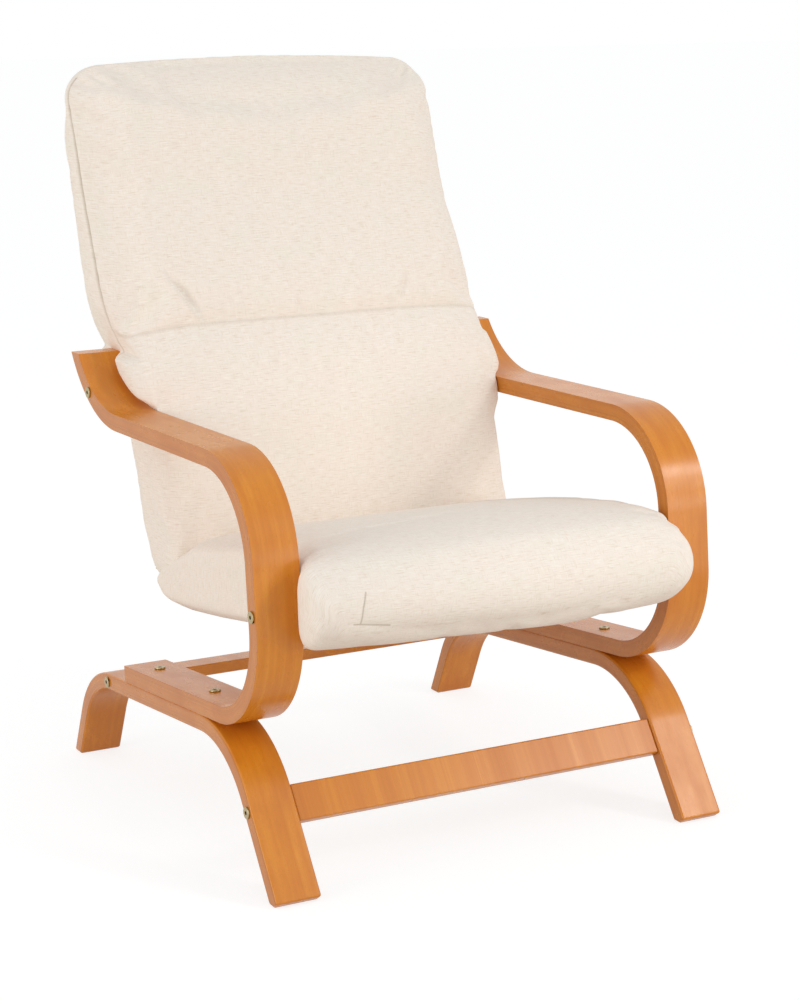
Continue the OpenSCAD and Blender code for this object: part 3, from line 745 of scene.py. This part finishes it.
def spread(start, end, cell, size, seams=()):
    """Places from start to end about a cell apart, with close rows beside each seam.

    size is the length in millimetres of one unit.
    """
    stops = [start, *seams, end]
    rows = [start]
    for a, b in zip(stops, stops[1:]):
        near = [mm / size for mm in NEAR_SEAM_MM]
        first = [a + d for d in near] if a in seams else []
        final = [b - d for d in reversed(near)] if b in seams else []
        c, d = (first[-1] if first else a), (final[0] if final else b)
        count = max(1, round((d - c) * size / cell))
        rows += first + [c + (d - c) * n / count for n in range(1, count)]
        rows += ([d] if final else []) + [b]
    return rows


# %% Rounded box
def rounded(place, half, length, fore, aft, before, after, ends, power=2.0):
    """Rounds a box of cells. Returns across, along and through, and the cloth's two runs.

    fore and aft are the thicknesses before and behind the middle. before and after are the
    lengths of the side rounding at the front and the rear, each as (across, through), and
    ends are the lengths of the rounding at the low and the high end. A power above 2 makes
    the sides' rounding squarer.
    """
    x, run = place[:, 0] * half, place[:, 1] * length
    t = place[:, 2] * np.where(place[:, 2] > 0, fore, aft)
    ex = after[0] + (before[0] - after[0]) * eased(place[:, 2] + 0.5)
    ef, er = before[1], after[1]
    cx = np.clip(x, ex - half, half - ex)
    cl = np.clip(run, ends[0], length - ends[1])
    ct = np.clip(t, er - aft, fore - ef)
    el, et = np.where(run < cl, ends[0], ends[1]), np.where(t > ct, ef, er)
    dx, dl, dt = (x - cx) / ex, (run - cl) / el, (t - ct) / et
    norm = np.maximum((np.abs(dx) ** power + np.hypot(dl, dt) ** power) ** (1 / power), 1e-6)
    dx, dl, dt = dx / norm, dl / norm, dt / norm
    up, down = np.maximum(dt, 0), np.maximum(-dt, 0)
    side = np.abs(cx) + ex * np.arctan2(np.abs(dx), np.hypot(up, dl))
    side = side + (fore - ef - ct) * np.abs(dx)
    side = side + er * np.arctan2(down, np.abs(dx)) * np.abs(dx)
    rise = cl + el * np.arctan2(np.abs(dl), np.hypot(up, dx)) * np.sign(dl)
    rise = rise + er * np.arctan2(down, np.abs(dl)) * dl
    return cx + ex * dx, cl + el * dl, ct + et * dt, np.sign(x) * side, rise


def mixed(first, second, share):
    """A value between two values."""
    return first + (second - first) * share


def write_pad(pad, points, uv, behind):
    """Puts the vertices in place, turns the faces outwards and writes the cloth's UV map."""
    mesh = pad.data
    mesh.vertices.foreach_set("co", points.ravel())
    layer = write_uv(mesh, "cloth", uv)
    for face, rear in zip(mesh.polygons, behind):
        if rear:
            for loop in face.loop_indices:
                p = points[mesh.loops[loop].vertex_index]
                layer.data[loop].uv = (p[0], p[2] - p[1])
    tidy_normals(pad)


def puff(pad, held, cap_mm, pressure=4.0, slack=-0.01, frames=20):
    """Swells a pad's cloth with air, pinned where it is held, and caps how far it moves."""
    start = vertex_places(pad.data)
    group = pad.vertex_groups.new(name="held")
    group.add([int(i) for i in np.nonzero(held)[0]], 1, "REPLACE")
    cloth = pad.modifiers.new("cloth", "CLOTH")
    cloth.settings.vertex_group_mass = "held"
    cloth.settings.use_pressure = True
    cloth.settings.uniform_pressure_force = pressure
    cloth.settings.shrink_min = slack
    cloth.settings.bending_stiffness = 1.5
    cloth.settings.quality = 6
    cloth.settings.effector_weights.gravity = 0
    cloth.point_cache.frame_end = frames
    for number in range(1, frames + 1):
        bpy.context.scene.frame_set(number)
    shaped = pad.evaluated_get(bpy.context.evaluated_depsgraph_get()).to_mesh()
    move = vertex_places(shaped) - start
    reach = np.linalg.norm(move, axis=1, keepdims=True)
    move *= np.minimum(1, cap_mm * MM / np.maximum(reach, 1e-9))
    pad.modifiers.remove(cloth)
    pad.vertex_groups.remove(group)
    pad.data.vertices.foreach_set("co", (start + move).ravel())
    bpy.context.scene.frame_set(1)
    most = float(np.linalg.norm(move, axis=1).max()) / MM
    print(pad.name, "swelled by up to", round(most, 1), "mm")


# %% [markdown]
# ## The back
# The tall back leans and bends a little at the waist. A seam crosses it just above the arms:
# below it the cover lies smooth, above it the cloth is gathered a little, in low folds that
# run up from the seam. The front's cloth wraps round the sides and meets the rear's in a
# seam at mid thickness, which ends at the arms. Each side is pressed in where the arm's tab
# is bolted to it.

# %% Back sizes
BACK_LOW, BACK_RISE = 284.9, 676
BACK_FRONT, BACK_DEPTH = 101.1, 332
NARROW_HALF, BACK_HALF = 259.4, 279
BACK_CROWN, BACK_CELL, BACK_THICK, BACK_SWELL = 12, 6.6, 62, 8
BACK_ENDS, REAR_ROUND, TOP_ROUND = (34, 46), 14, 44
WIDENS_BELOW, WIDENS_OVER = 120, 60
# the front corners' radius at the foot, and what is added to it above the foot, at the
# waist and at the top
CORNER_FOOT, CORNER_BODY, CORNER_WAIST, CORNER_TOP = 10, 14, 26, 16
BACK_FRONT_ROWS = [
    (0, 0), (0.03, -0.02), (0.087, -0.01), (0.185, 0.03), (0.315, 0.09), (0.392, 0.15),
    (0.487, 0.262), (0.6, 0.39), (0.743, 0.55), (0.848, 0.63), (0.91, 0.685), (1, 0.765),
]
BACK_REAR_ROWS = [
    (0, 0.25), (0.03, 0.275), (0.087, 0.32), (0.185, 0.39), (0.315, 0.475), (0.392, 0.555),
    (0.487, 0.682), (0.6, 0.78), (0.743, 0.867), (0.848, 0.925), (0.91, 0.965), (0.96, 0.995),
    (1, 0.99),
]
WAIST_SHARE, SIDE_SEAM_SHARE = 0.501, 0.03
WAIST_BOW, TOP_CROWN, TOP_DIP = 14, 11, 3.5
TAB_ROOM, TAB_LIP, STRIP_ROOM, SWELL_ROOM = 95, 2, 12, 6
PANEL_HALF, RIM_HALF = 246, 253.5
PAD_OVER_PANEL, RIM_UNDER_PANEL, RIM_REACH, PANEL_EDGE = 2.4, 0.3, 8, 2
BACK_FOLDS = [
    # line of (across, up), depth, width to its left and right, swelling
    ([(-206, 686), (-188, 660), (-170, 631)], 8.4, 8, 3.0, 3.6),
    ([(150, 670), (140, 651), (129, 632)], 4.4, 4.5, 2.6, 1.8),
    ([(-106, 670), (-104, 624)], 1.7, 4, 3, 0.8),
    ([(-80, 648), (-79, 624)], 1.3, 3.5, 3, 0.5),
    ([(-24, 652), (-22, 624)], 1.4, 3.5, 3, 0.6),
    ([(121, 650), (118, 626)], 1.8, 3.5, 3, 0.8),
    ([(-255, 612), (-245, 596)], 1.4, 3, 3, 0.4),
]


def press_sides(points, free_half):
    """Presses in a pad's sides where the arm strips are, and eases them out to a half width."""
    away = beside_path(points, ARM_START, ARM_PATH)[2] - STRIP_T / 2
    beside = NARROW_HALF + (free_half - NARROW_HALF) * eased((away - 1) / STRIP_ROOM)
    up = side_view(points)[1]
    above = np.clip((up - TAB_TOP) / TAB_ROOM, 0, 1)
    over = free_half - (free_half - NARROW_HALF - TAB_LIP) * (1 - above) ** 2
    half = np.where(up > TAB_TOP, over, beside)
    points[:, 0] = np.sign(points[:, 0]) * np.minimum(np.abs(points[:, 0]), half * MM)


def outer_line(node, upright):
    """Places along a CAD cover's outer face, from its mesh: along, and out."""
    f, h = (np.round(axis, 1) for axis in side_view(vertex_places(nodes[node].data)))
    along, out = (h, f) if upright else (f, h)
    keys = np.unique(along)
    return keys, np.array([out[along == key].min() for key in keys])


def keep_inside(points, node, upright):
    """Keeps a pad a little inside the panel of lining, and its rim a little outside it."""
    keys, outs = outer_line(node, upright)
    f, h = side_view(points)
    along, out = (h, f) if upright else (f, h)
    line = np.interp(along, keys, outs)
    within = (along > keys[0] - PANEL_EDGE) & (along < keys[-1] + PANEL_EDGE)
    under = np.abs(points[:, 0]) < (PANEL_HALF - PANEL_EDGE) * MM
    rim = ~under & (np.abs(points[:, 0]) < RIM_HALF * MM) & (out < line + RIM_REACH)
    out = np.where(within & under, np.maximum(out, line + PAD_OVER_PANEL), out)
    out = np.where(within & rim, np.minimum(out, line - RIM_UNDER_PANEL), out)
    if upright:
        points[:, 1] = MID_Y - out * MM
    else:
        points[:, 2] = out * MM


def keep_places(pad, place):
    """Stores each vertex's place in the box of cells, so that it survives subdivision."""
    layer = pad.data.attributes.new("place", "FLOAT_VECTOR", "POINT")
    layer.data.foreach_set("vector", place.astype(np.float32).ravel())


def refine(pad):
    """Subdivides a pad once and returns its vertices and their places."""
    finish_with(pad, "SUBSURF", levels=1, render_levels=1)
    place = np.empty(len(pad.data.vertices) * 3, np.float32)
    pad.data.attributes["place"].data.foreach_get("vector", place)
    pad.data.attributes.remove(pad.data.attributes["place"])
    return vertex_places(pad.data), place.reshape(-1, 3).astype(float)


def line_offsets(a, b, line):
    """Distance from points (a, b) to a line of points, side of it, and share along it."""
    best = np.full(len(a), np.inf)
    side, share = np.zeros(len(a)), np.zeros(len(a))
    pieces = len(line) - 1
    for n, ((a0, b0), (a1, b1)) in enumerate(zip(line, line[1:])):
        length = math.hypot(a1 - a0, b1 - b0)
        da, db = (a1 - a0) / length, (b1 - b0) / length
        s = np.clip((a - a0) * da + (b - b0) * db, 0, length)
        pa, pb = a - a0 - s * da, b - b0 - s * db
        away = np.hypot(pa, pb)
        closer = away < best
        best[closer] = away[closer]
        side[closer] = np.sign(da * pb - db * pa)[closer]
        share[closer] = ((n + s / length) / pieces)[closer]
    return best, side, share


def fold(a, b, line, depth, left, right, swell):
    """Sink of a fold along a line: a crease with a slope on each side, and a swelling lip."""
    away, side, share = line_offsets(a, b, line)
    ends = np.sin(math.pi * np.clip(share, 0.03, 0.97)) ** 0.6
    crease = depth * np.exp(-((away / np.where(side > 0, left, right)) ** 2))
    lip = 1.5 * np.where(side > 0, left, right) + 2
    roll = swell * np.exp(-(((away - lip) / (0.7 * lip)) ** 2)) * (side <= 0)
    return (crease - roll) * ends


def finish_pad(pad, points, material, node):
    """Puts a pad's vertices in their last places and finishes it."""
    pad.data.vertices.foreach_set("co", points.ravel())
    pick(pad)
    bpy.ops.object.shade_smooth()
    finish_piece(pad, material, "ecru_weave", node)


# %% Shape the back
back_xs = spread(-1, 1, BACK_CELL, BACK_HALF)
back_ls = spread(0, 1, BACK_CELL, BACK_RISE, (WAIST_SHARE,))
back_ts = spread(-1, 1, BACK_CELL, BACK_THICK, (SIDE_SEAM_SHARE,))
back, place, behind = lattice("back_pad", back_xs, back_ls, back_ts)
share = place[:, 1]
front_y = BACK_FRONT + BACK_DEPTH * profile(BACK_FRONT_ROWS, share)
rear_y = BACK_FRONT + BACK_DEPTH * profile(BACK_REAR_ROWS, share)
crown = BACK_CROWN * (1 - place[:, 0] ** 2) * np.sin(math.pi * share)
corner_front = CORNER_FOOT + CORNER_BODY * eased((share - 0.06) / 0.08)
corner_front += (
    CORNER_WAIST * eased((share - 0.36) / 0.14) + CORNER_TOP * eased((share - 0.86) / 0.1)
)
height = BACK_LOW + share * BACK_RISE
half = NARROW_HALF + (BACK_HALF - NARROW_HALF) * eased(
    (height - TAB_TOP + WIDENS_BELOW) / WIDENS_OVER
)
fore, aft = (rear_y - front_y) / 2 + crown, (rear_y - front_y) / 2
tip = eased((share - 0.84) / 0.1)
foot = 0.45 * eased((0.11 - share) / 0.06)
across, along, through, cloth_u, cloth_v = rounded(
    place, half, BACK_RISE, fore, aft,
    (corner_front, mixed(corner_front, fore, np.maximum(tip, foot))),
    (mixed(REAR_ROUND, TOP_ROUND, tip), mixed(REAR_ROUND, aft, np.maximum(tip, foot))),
    BACK_ENDS,
)
reached = along / BACK_RISE
middle_y = BACK_FRONT + BACK_DEPTH * (
    profile(BACK_FRONT_ROWS, reached) + profile(BACK_REAR_ROWS, reached)
) / 2
waist_bow = -WAIST_BOW * np.abs(place[:, 0]) ** 5 * np.exp(-(((share - WAIST_SHARE) / 0.08) ** 2))
top_bow = (TOP_CROWN * (1 - place[:, 0] ** 2) - TOP_DIP) * eased((share - 0.75) / 0.25)
points = np.stack([
    across * MM, MID_Y + (middle_y - through) * MM, (BACK_LOW + along + waist_bow + top_bow) * MM
], 1)
press_sides(points, BACK_HALF)
write_pad(back, points, np.stack([cloth_u, cloth_v], 1) * MM, behind)
print(back.name, "has", len(back.data.polygons), "cells")

# %% Swell the back, then draw in its seams and folds
keep_places(back, place)
on_waist = np.abs(share - WAIST_SHARE) < 1e-4
on_side_seam = np.abs(place[:, 2] - SIDE_SEAM_SHARE) < 1e-4
at_foot = (share < 0.12) & (np.abs(place[:, 0]) > 0.85)
puff(back, (place[:, 2] < -0.99) | on_waist | on_side_seam | at_foot, BACK_SWELL)
points, place = refine(back)
share, across = place[:, 1], points[:, 0] / MM
up = points[:, 2] / MM
rows_off = (share - WAIST_SHARE) * BACK_RISE
front_part = eased(place[:, 2] * 4 - 0.5)
gathers = 0.5 + 0.5 * np.sin(across / 6.5 + 2.2 * np.sin(across / 31) + 1.3 * np.sin(across / 13))
fine_pleats = 0.5 + 0.5 * np.sin(across / 2 + 0.8 * np.sin(across / 9))
above = eased(rows_off / 3) * np.exp(-np.maximum(rows_off, 0) / 24)
# the stitch, the dip on both sides of it, and the gathers and fine pleats above it
sink = (
    1.6 * np.exp(-((rows_off / 1.8) ** 2))
    + 4.0 * np.exp(-((rows_off / np.where(rows_off > 0, 30, 12)) ** 2))
    + 1.5 * gathers * above * eased((across + 220) / 60) * eased((240 - across) / 60)
    + 1.3 * fine_pleats * above * eased((across + 160) / 15) * eased((-62 - across) / 15)
)
for row in BACK_FOLDS:
    sink += fold(across, up, *row)
points[:, 1] += sink * front_part * MM
side_part = eased((np.abs(place[:, 0]) - 0.985) / 0.012)
seam_off = (place[:, 2] - SIDE_SEAM_SHARE) * BACK_THICK
side_part *= eased((up - 570) / 28)
side_sink = 2.8 * np.exp(-((seam_off / 1.9) ** 2)) * side_part
points[:, 0] -= np.sign(points[:, 0]) * side_sink * MM
press_sides(points, BACK_HALF + SWELL_ROOM)
waist_line = 0.2 * np.exp(-((rows_off / 1.1) ** 2)) * front_part
side_line = 0.6 * np.exp(-((seam_off / 1.1) ** 2)) * side_part
keep_inside(points, "back_rear_cover", True)
# how much each vertex lies in a seam: the weave is darker there, for stitch thread and painted
# shade in the seam's crease
layer = back.data.attributes.new("seam", "FLOAT", "POINT")
layer.data.foreach_set("value", np.maximum(waist_line, side_line).astype(np.float32))
finish_pad(back, points, WEAVE, "back_cushion")

# %% [markdown]
# ## The seat
# The seat is one thick pad between the arms' uprights. Its front is a full roll that swells
# round both uprights, so that it is wider than the rest of the seat. The roll's ends are
# gathered in small pleats.

# %% Seat sizes
SEAT_LOW, SEAT_RISE, SEAT_LEN = 261.9, 147, 542
ROLL_LEFT, ROLL_RIGHT = 274, 271
SEAT_CROWN, SEAT_CELL, SEAT_THICK, SEAT_SWELL = 10, 7, 52, 5
SEAT_ENDS = (12, 51)
# how far the side's rounding reaches across, behind the roll and at its left and right end,
# and how far it reaches through behind the roll
TOP_ACROSS, UNDER_ACROSS, SQUARENESS = (18, 20, 58), (14, 30, 50), (2, 4, 2)
TOP_THROUGH, UNDER_THROUGH = 12, 14
UPRIGHT_FRONT = 299
SEAT_TOP_ROWS = [
    (0, 0.39), (0.05, 0.49), (0.11, 0.54), (0.21, 0.61), (0.30, 0.69), (0.39, 0.755),
    (0.48, 0.823), (0.58, 0.89), (0.73, 0.973), (0.84, 1), (0.90, 0.985), (1, 0.9),
]
SEAT_UNDER_ROWS = [
    (0, 0.1), (0.05, 0.0), (0.11, -0.01), (0.21, 0.025), (0.30, 0.07), (0.39, 0.116),
    (0.48, 0.17), (0.58, 0.23), (0.73, 0.286), (0.84, 0.305), (0.90, 0.313), (1, 0.38),
]
NOSE_FOLDS = [
    # line of (across, up), depth, width to its left and right, swelling
    ([(-208, 379), (-213.5, 362), (-217, 343)], 2.4, 3, 5, 1.0),
    ([(-226, 344), (-177, 335.5)], 1.0, 3, 3, 0.5),
    ([(-243, 380), (-249, 352), (-256, 329)], 2.0, 5, 5, 0.8),
    ([(222, 378), (232, 364), (237, 350)], 2.4, 3.5, 4, 1.0),
    ([(242, 388), (247, 370)], 1.8, 3.5, 3.5, 0.8),
    ([(240, 346), (228, 328)], 2.2, 3.5, 3.5, 0.8),
]
TOP_FOLDS = [
    # line of (across, forward), depth, width to its left and right, swelling
    ([(-235, 232), (-185, 221), (-125, 197), (-85, 193), (-17, 172), (40, 166)], 2.6, 5, 6, 1.2),
]
# lines along the nose's tucks, darkened in the weave: stitching and painted shade in their creases
TUCK_SHADE_LINES = [((-208, 379), (-213.5, 362)), ((-213.5, 362), (-217, 343)), ((-226, 344), (-177, 335.5))]
REAR_DROP_ROWS = [(0.028, 27), (0.094, 20), (0.129, 15), (0.153, 12), (0.185, 7), (0.23, 0)]

# %% Shape the seat
seat_xs = spread(-1, 1, SEAT_CELL, ROLL_LEFT)
seat_ls = spread(0, 1, SEAT_CELL, SEAT_LEN)
seat_ts = spread(-1, 1, SEAT_CELL, SEAT_THICK)
seat, place, behind = lattice("seat_pad", seat_xs, seat_ls, seat_ts)
share = place[:, 1]
top_z = SEAT_LOW + SEAT_RISE * profile(SEAT_TOP_ROWS, share)
under_z = SEAT_LOW + SEAT_RISE * profile(SEAT_UNDER_ROWS, share)
crown = SEAT_CROWN * (1 - place[:, 0] ** 4) * np.sin(math.pi * share)
forward = SEAT_REACH - SEAT_LEN * (1 - share)
right = eased(place[:, 0] * 2 + 0.5)
roll_half = mixed(ROLL_LEFT, ROLL_RIGHT, right)
half = NARROW_HALF + (roll_half - NARROW_HALF) * eased((forward - UPRIGHT_FRONT) / 20)
fore, aft = (top_z - under_z) / 2 + crown, (top_z - under_z) / 2
nose = eased((forward - 290) / 40)
tail = eased((0.05 - share) / 0.03)
top_across, under_across, squareness = (
    mixed(behind_roll, mixed(left_end, right_end, right), nose)
    for behind_roll, left_end, right_end in (TOP_ACROSS, UNDER_ACROSS, SQUARENESS)
)
across, along, through, cloth_u, cloth_v = rounded(
    place, half, SEAT_LEN, fore, aft,
    (top_across, mixed(TOP_THROUGH, fore, np.maximum(tail, nose))),
    (under_across, mixed(UNDER_THROUGH, aft, np.maximum(tail, nose))),
    SEAT_ENDS, squareness,
)
reached = along / SEAT_LEN
middle_z = SEAT_LOW + SEAT_RISE * (
    profile(SEAT_TOP_ROWS, reached) + profile(SEAT_UNDER_ROWS, reached)
) / 2
sag = 2.5 + 10.5 * np.exp(-(((across - 110) / 200) ** 2))
sag *= eased((share - 0.72) / 0.2) * eased(0.5 - through / 60)
drop = np.interp(share, *zip(*REAR_DROP_ROWS)) * eased((np.abs(place[:, 0]) - 0.6) / 0.35)
drop *= (through + aft) / (fore + aft)
points = np.stack([
    across * MM, MID_Y - (SEAT_REACH - SEAT_LEN + along) * MM,
    (middle_z + through - sag - drop) * MM,
], 1)
write_pad(seat, points, np.stack([cloth_u, cloth_v], 1) * MM, behind)
print(seat.name, "has", len(seat.data.polygons), "cells")

# %% Swell the seat, then draw in its folds
keep_places(seat, place)
on_side = (np.abs(place[:, 0]) > 0.96) & (forward < UPRIGHT_FRONT)
puff(seat, (place[:, 2] < -0.99) & (share < 0.85) | (share < 0.001) | on_side, SEAT_SWELL)
points, place = refine(seat)
across, (forward, up) = points[:, 0] / MM, side_view(points)
nose_part = eased((forward - NOSE_FROM) / 20)
sink = sum(fold(across, up, *row) for row in NOSE_FOLDS) * nose_part
points[:, 1] += sink * MM
top_part = eased(place[:, 2] * 4 - 1) * (1 - nose_part)
points[:, 2] -= sum(fold(across, forward, *row) for row in TOP_FOLDS) * top_part * MM
press_sides(points, ROLL_LEFT + SWELL_ROOM)
keep_inside(points, "seat_dust_cover", False)
finish_pad(seat, points, weave("ecru_slub_weave_with_tuck_shade", TUCK_SHADE_LINES), "seat_cushion")

# %% [markdown]
# ## Lining
# Two panels of thin spunbonded lining close the frame, one under the seat and one behind the
# back. Each is cut a little larger, its border is turned under and stapled to the frame, and
# so it puckers softly along its edges and bellies a little in the middle. The CAD covers are
# flat, so their outer faces give the line that each new panel follows.

# %% Lining material
FIBRE_MM, DOT_MM = 1.6, 3.2


def spunbond():
    material, tree, out = new_material("ecru_spunbonded_lining")
    where = add(tree, "UVMap", {"uv_map": "cloth"}).outputs[0]
    fibres = noise(tree, where, (FIBRE_MM, 4 * FIBRE_MM, FIBRE_MM), 4.0, 0.7)
    grid = stretched(tree, where, (DOT_MM,) * 3)
    dots = add(tree, "TexVoronoi", {"feature": "F1"}, i0=grid, Scale=1.0)
    pressed = ramp(tree, dots.outputs["Distance"], [(0.12, 1.0), (0.3, 0.0)])
    colour = ramp(tree, fibres, [(0.3, "#D6CEBF"), (0.7, "#E6DFD2")])
    colour = blend_colours(tree, calc(tree, "MULTIPLY", pressed, 0.25), colour, "#C2B9A8")
    height = calc(tree, "SUBTRACT", fibres, pressed)
    shade(tree, out, 0.3, 0.3, height, Base_Color=colour, Roughness=0.85, Specular_IOR_Level=0.3)
    return material


LINING = spunbond()

# %% Panels of lining
PANEL_CELL, PANEL_T, PANEL_LIFT = 4, 0.6, 1.2
HEM_MM, PUCKER_MM, PUCKER_REACH, STAPLE_MM = 14, 0.3, 18, 47


def line_panel(name, node, upright, belly_mm):
    """Lays a panel of lining along a cover's outer face, and closes it with a thickness."""
    keys, outs = outer_line(node, upright)
    start, end = keys[0], keys[-1]
    xs = np.linspace(-PANEL_HALF, PANEL_HALF, round(2 * PANEL_HALF / PANEL_CELL) + 1)
    rows = np.linspace(start, end, round((end - start) / PANEL_CELL) + 1)
    x, row = (grid.ravel() for grid in np.meshgrid(xs, rows, indexing="ij"))
    from_side, from_end = PANEL_HALF - np.abs(x), np.minimum(row - start, end - row)
    hem = 0.6 * (1 - eased((np.minimum(from_side, from_end) - HEM_MM) / 2))
    pucker = PUCKER_MM * (
        np.cos(math.tau * row / STAPLE_MM) * np.exp(-from_side / PUCKER_REACH)
        + np.cos(math.tau * x / STAPLE_MM) * np.exp(-from_end / PUCKER_REACH)
    )
    arch = np.sin(math.pi * (row - start) / (end - start))
    belly = belly_mm * (1 - (x / PANEL_HALF) ** 2) * arch
    out = np.interp(row, keys, outs) + PANEL_LIFT - hem - pucker - belly
    f, h = (out, row) if upright else (row, out)
    places = np.stack([x * MM, MID_Y - f * MM, h * MM], 1)
    lines = np.interp(rows, keys, outs)
    run = np.concatenate([[0], np.cumsum(np.hypot(np.diff(rows), np.diff(lines)))])
    n = len(rows)
    faces = [
        (i * n + j, (i + 1) * n + j, (i + 1) * n + j + 1, i * n + j + 1)
        for i in range(len(xs) - 1) for j in range(n - 1)
    ]
    panel = new_piece(name, places.tolist(), faces)
    write_uv(panel.data, "cloth", np.stack([x, np.tile(run, len(xs))], 1) * MM)
    finish_with(panel, "SOLIDIFY", thickness=PANEL_T * MM, offset=0)
    tidy_normals(panel)
    bpy.ops.object.shade_smooth_by_angle(angle=math.radians(50))
    finish_piece(panel, LINING, "lining_cloth", node)


line_panel(
    "seat_lining", "seat_dust_cover", False, 3.0,
)
line_panel(
    "back_lining", "back_rear_cover", True, 2.0,
)

# %% [markdown]
# ## What lies inside
# The sawn frame, its dowels and the webbing are hidden by the pads and the lining. They keep
# their CAD shapes, with the finish of the real ones: raw pine with its growth rings, drawn
# along each board, and elastic jute webbing with dark stripes along its length.

# %% Pine and webbing
RING_MM, WEB_YARN_MM, WEB_STRIPE_MM = 9, 2.2, 15
GRAIN_LONG_MM = 300
ACROSS, FORWARD, UPWARD = 0, 1, 2


def raw_pine(name, axis):
    """Sawn pine whose grain runs along one axis of the frame."""
    material, tree, out = new_material(name)
    place = add(tree, "TexCoord").outputs["Object"]
    sizes = [RING_MM, RING_MM, RING_MM]
    sizes[axis] = GRAIN_LONG_MM
    rings = noise(tree, place, sizes, 3.0, 0.6)
    fibre = noise(tree, place, [size / 6 for size in sizes], 2.0)
    colour = ramp(tree, rings, [(0.35, "#E3C592"), (0.55, "#DDB980"), (0.65, "#C79A5C")])
    shade(tree, out, 0.4, 0.5, fibre, Base_Color=colour, Roughness=0.75)
    return material


def jute_webbing(name):
    """Webbing whose bands run across the frame."""
    material, tree, out = new_material(name)
    place = add(tree, "TexCoord").outputs["Object"]
    split = add(tree, "SeparateXYZ", i0=stretched(tree, place, (WEB_YARN_MM,) * 3)).outputs
    turns = calc(tree, "MULTIPLY", split[ACROSS], math.pi)
    rows = calc(tree, "ABSOLUTE", calc(tree, "SINE", turns))
    turns = calc(tree, "MULTIPLY", split[FORWARD], math.tau * WEB_YARN_MM / WEB_STRIPE_MM)
    stripes = calc(tree, "SINE", turns)
    fuzz = noise(tree, place, (1.2, 1.2, 1.2), 3.0)
    colour = ramp(tree, fuzz, [(0.3, "#8B8070"), (0.7, "#A2978A")])
    colour = blend_colours(
        tree, ramp(tree, stripes, [(0.8, 0.0), (0.9, 0.8)]), colour, "#4A423A"
    )
    shade(tree, out, 0.5, 0.6, rows, Base_Color=colour, Roughness=0.9)
    return material


# %% Materials on the CAD nodes that stay
WAYS = ("across", "along", "upright")
PINE = [raw_pine(f"raw_pine_{way}", axis) for axis, way in enumerate(WAYS)]
WEBBING = jute_webbing("jute_webbing_across")
INSIDE = {
    "seat_side_rail_left": PINE[FORWARD], "seat_side_rail_right": PINE[FORWARD],
    "seat_front_rail": PINE[ACROSS], "seat_rear_rail": PINE[ACROSS],
    "back_stile_left": PINE[UPWARD], "back_stile_right": PINE[UPWARD],
    "back_lumbar_rail": PINE[ACROSS], "back_top_rail": PINE[ACROSS],
    "frame_dowels": PINE[ACROSS], "seat_webbing": WEBBING, "back_webbing": WEBBING,
}
for name, node in nodes.items():
    finish = STEEL if "bolts" in name or "nuts" in name else INSIDE.get(name)
    if finish:
        node.data.materials.clear()
        node.data.materials.append(finish)
        print(name, "gets", finish.name)

# %% [markdown]
# ## Bolts
# The bolts' flat heads are turned, so their rims are a little rounded, which catches the
# light. By hand: take a copy of the CAD solids, merge it, clear the triangles off its flat
# faces and bevel what is sharp.

# %% Round the heads
RIM_R = 0.7
SOCKET_R, SOCKET_DEPTH = 2.7, 1.5
SOCKET_AREA = (3, 20)


def mark_socket_shade(bolts):
    """Marks the faces in each head's socket, round the six-sided face that is its bottom, for
    painted shade.
    """
    faces = bolts.data.polygons
    middles = np.array([face.center[:] for face in faces]) / MM
    inside = np.zeros(len(faces), np.float32)
    for face in faces:
        if len(face.vertices) == 6 and SOCKET_AREA[0] < face.area / MM**2 < SOCKET_AREA[1]:
            away = middles - middles[face.index]
            depth = away @ np.array(face.normal)
            beside = np.linalg.norm(away - np.outer(depth, face.normal), axis=1)
            inside[(beside < SOCKET_R) & (np.abs(depth) < SOCKET_DEPTH)] = 1
    bolts.data.attributes.new("socket", "FLOAT", "FACE").data.foreach_set("value", inside)
    return int(inside.sum())


def rounded_bolts(node):
    """Replaces a node of bolts by a copy with rounded rims."""
    copy = stand(node.replace("bolts", "turned_bolts"), nodes[node].data.copy())
    tidy_normals(copy)
    edit_all(copy)
    bpy.ops.mesh.dissolve_limited(angle_limit=math.radians(1))
    bpy.ops.object.mode_set(mode="OBJECT")
    round_edges(copy, RIM_R, segments=2)
    socket_shade_faces = mark_socket_shade(copy)
    finish_piece(copy, STEEL, "nickel_steel", node)
    print(copy.name, "has", len(copy.data.polygons), "faces,", socket_shade_faces, "in sockets")


for held in ("runner", "stretcher", "crossrail", "seat_side", "back_side"):
    rounded_bolts(f"{held}_bolts")
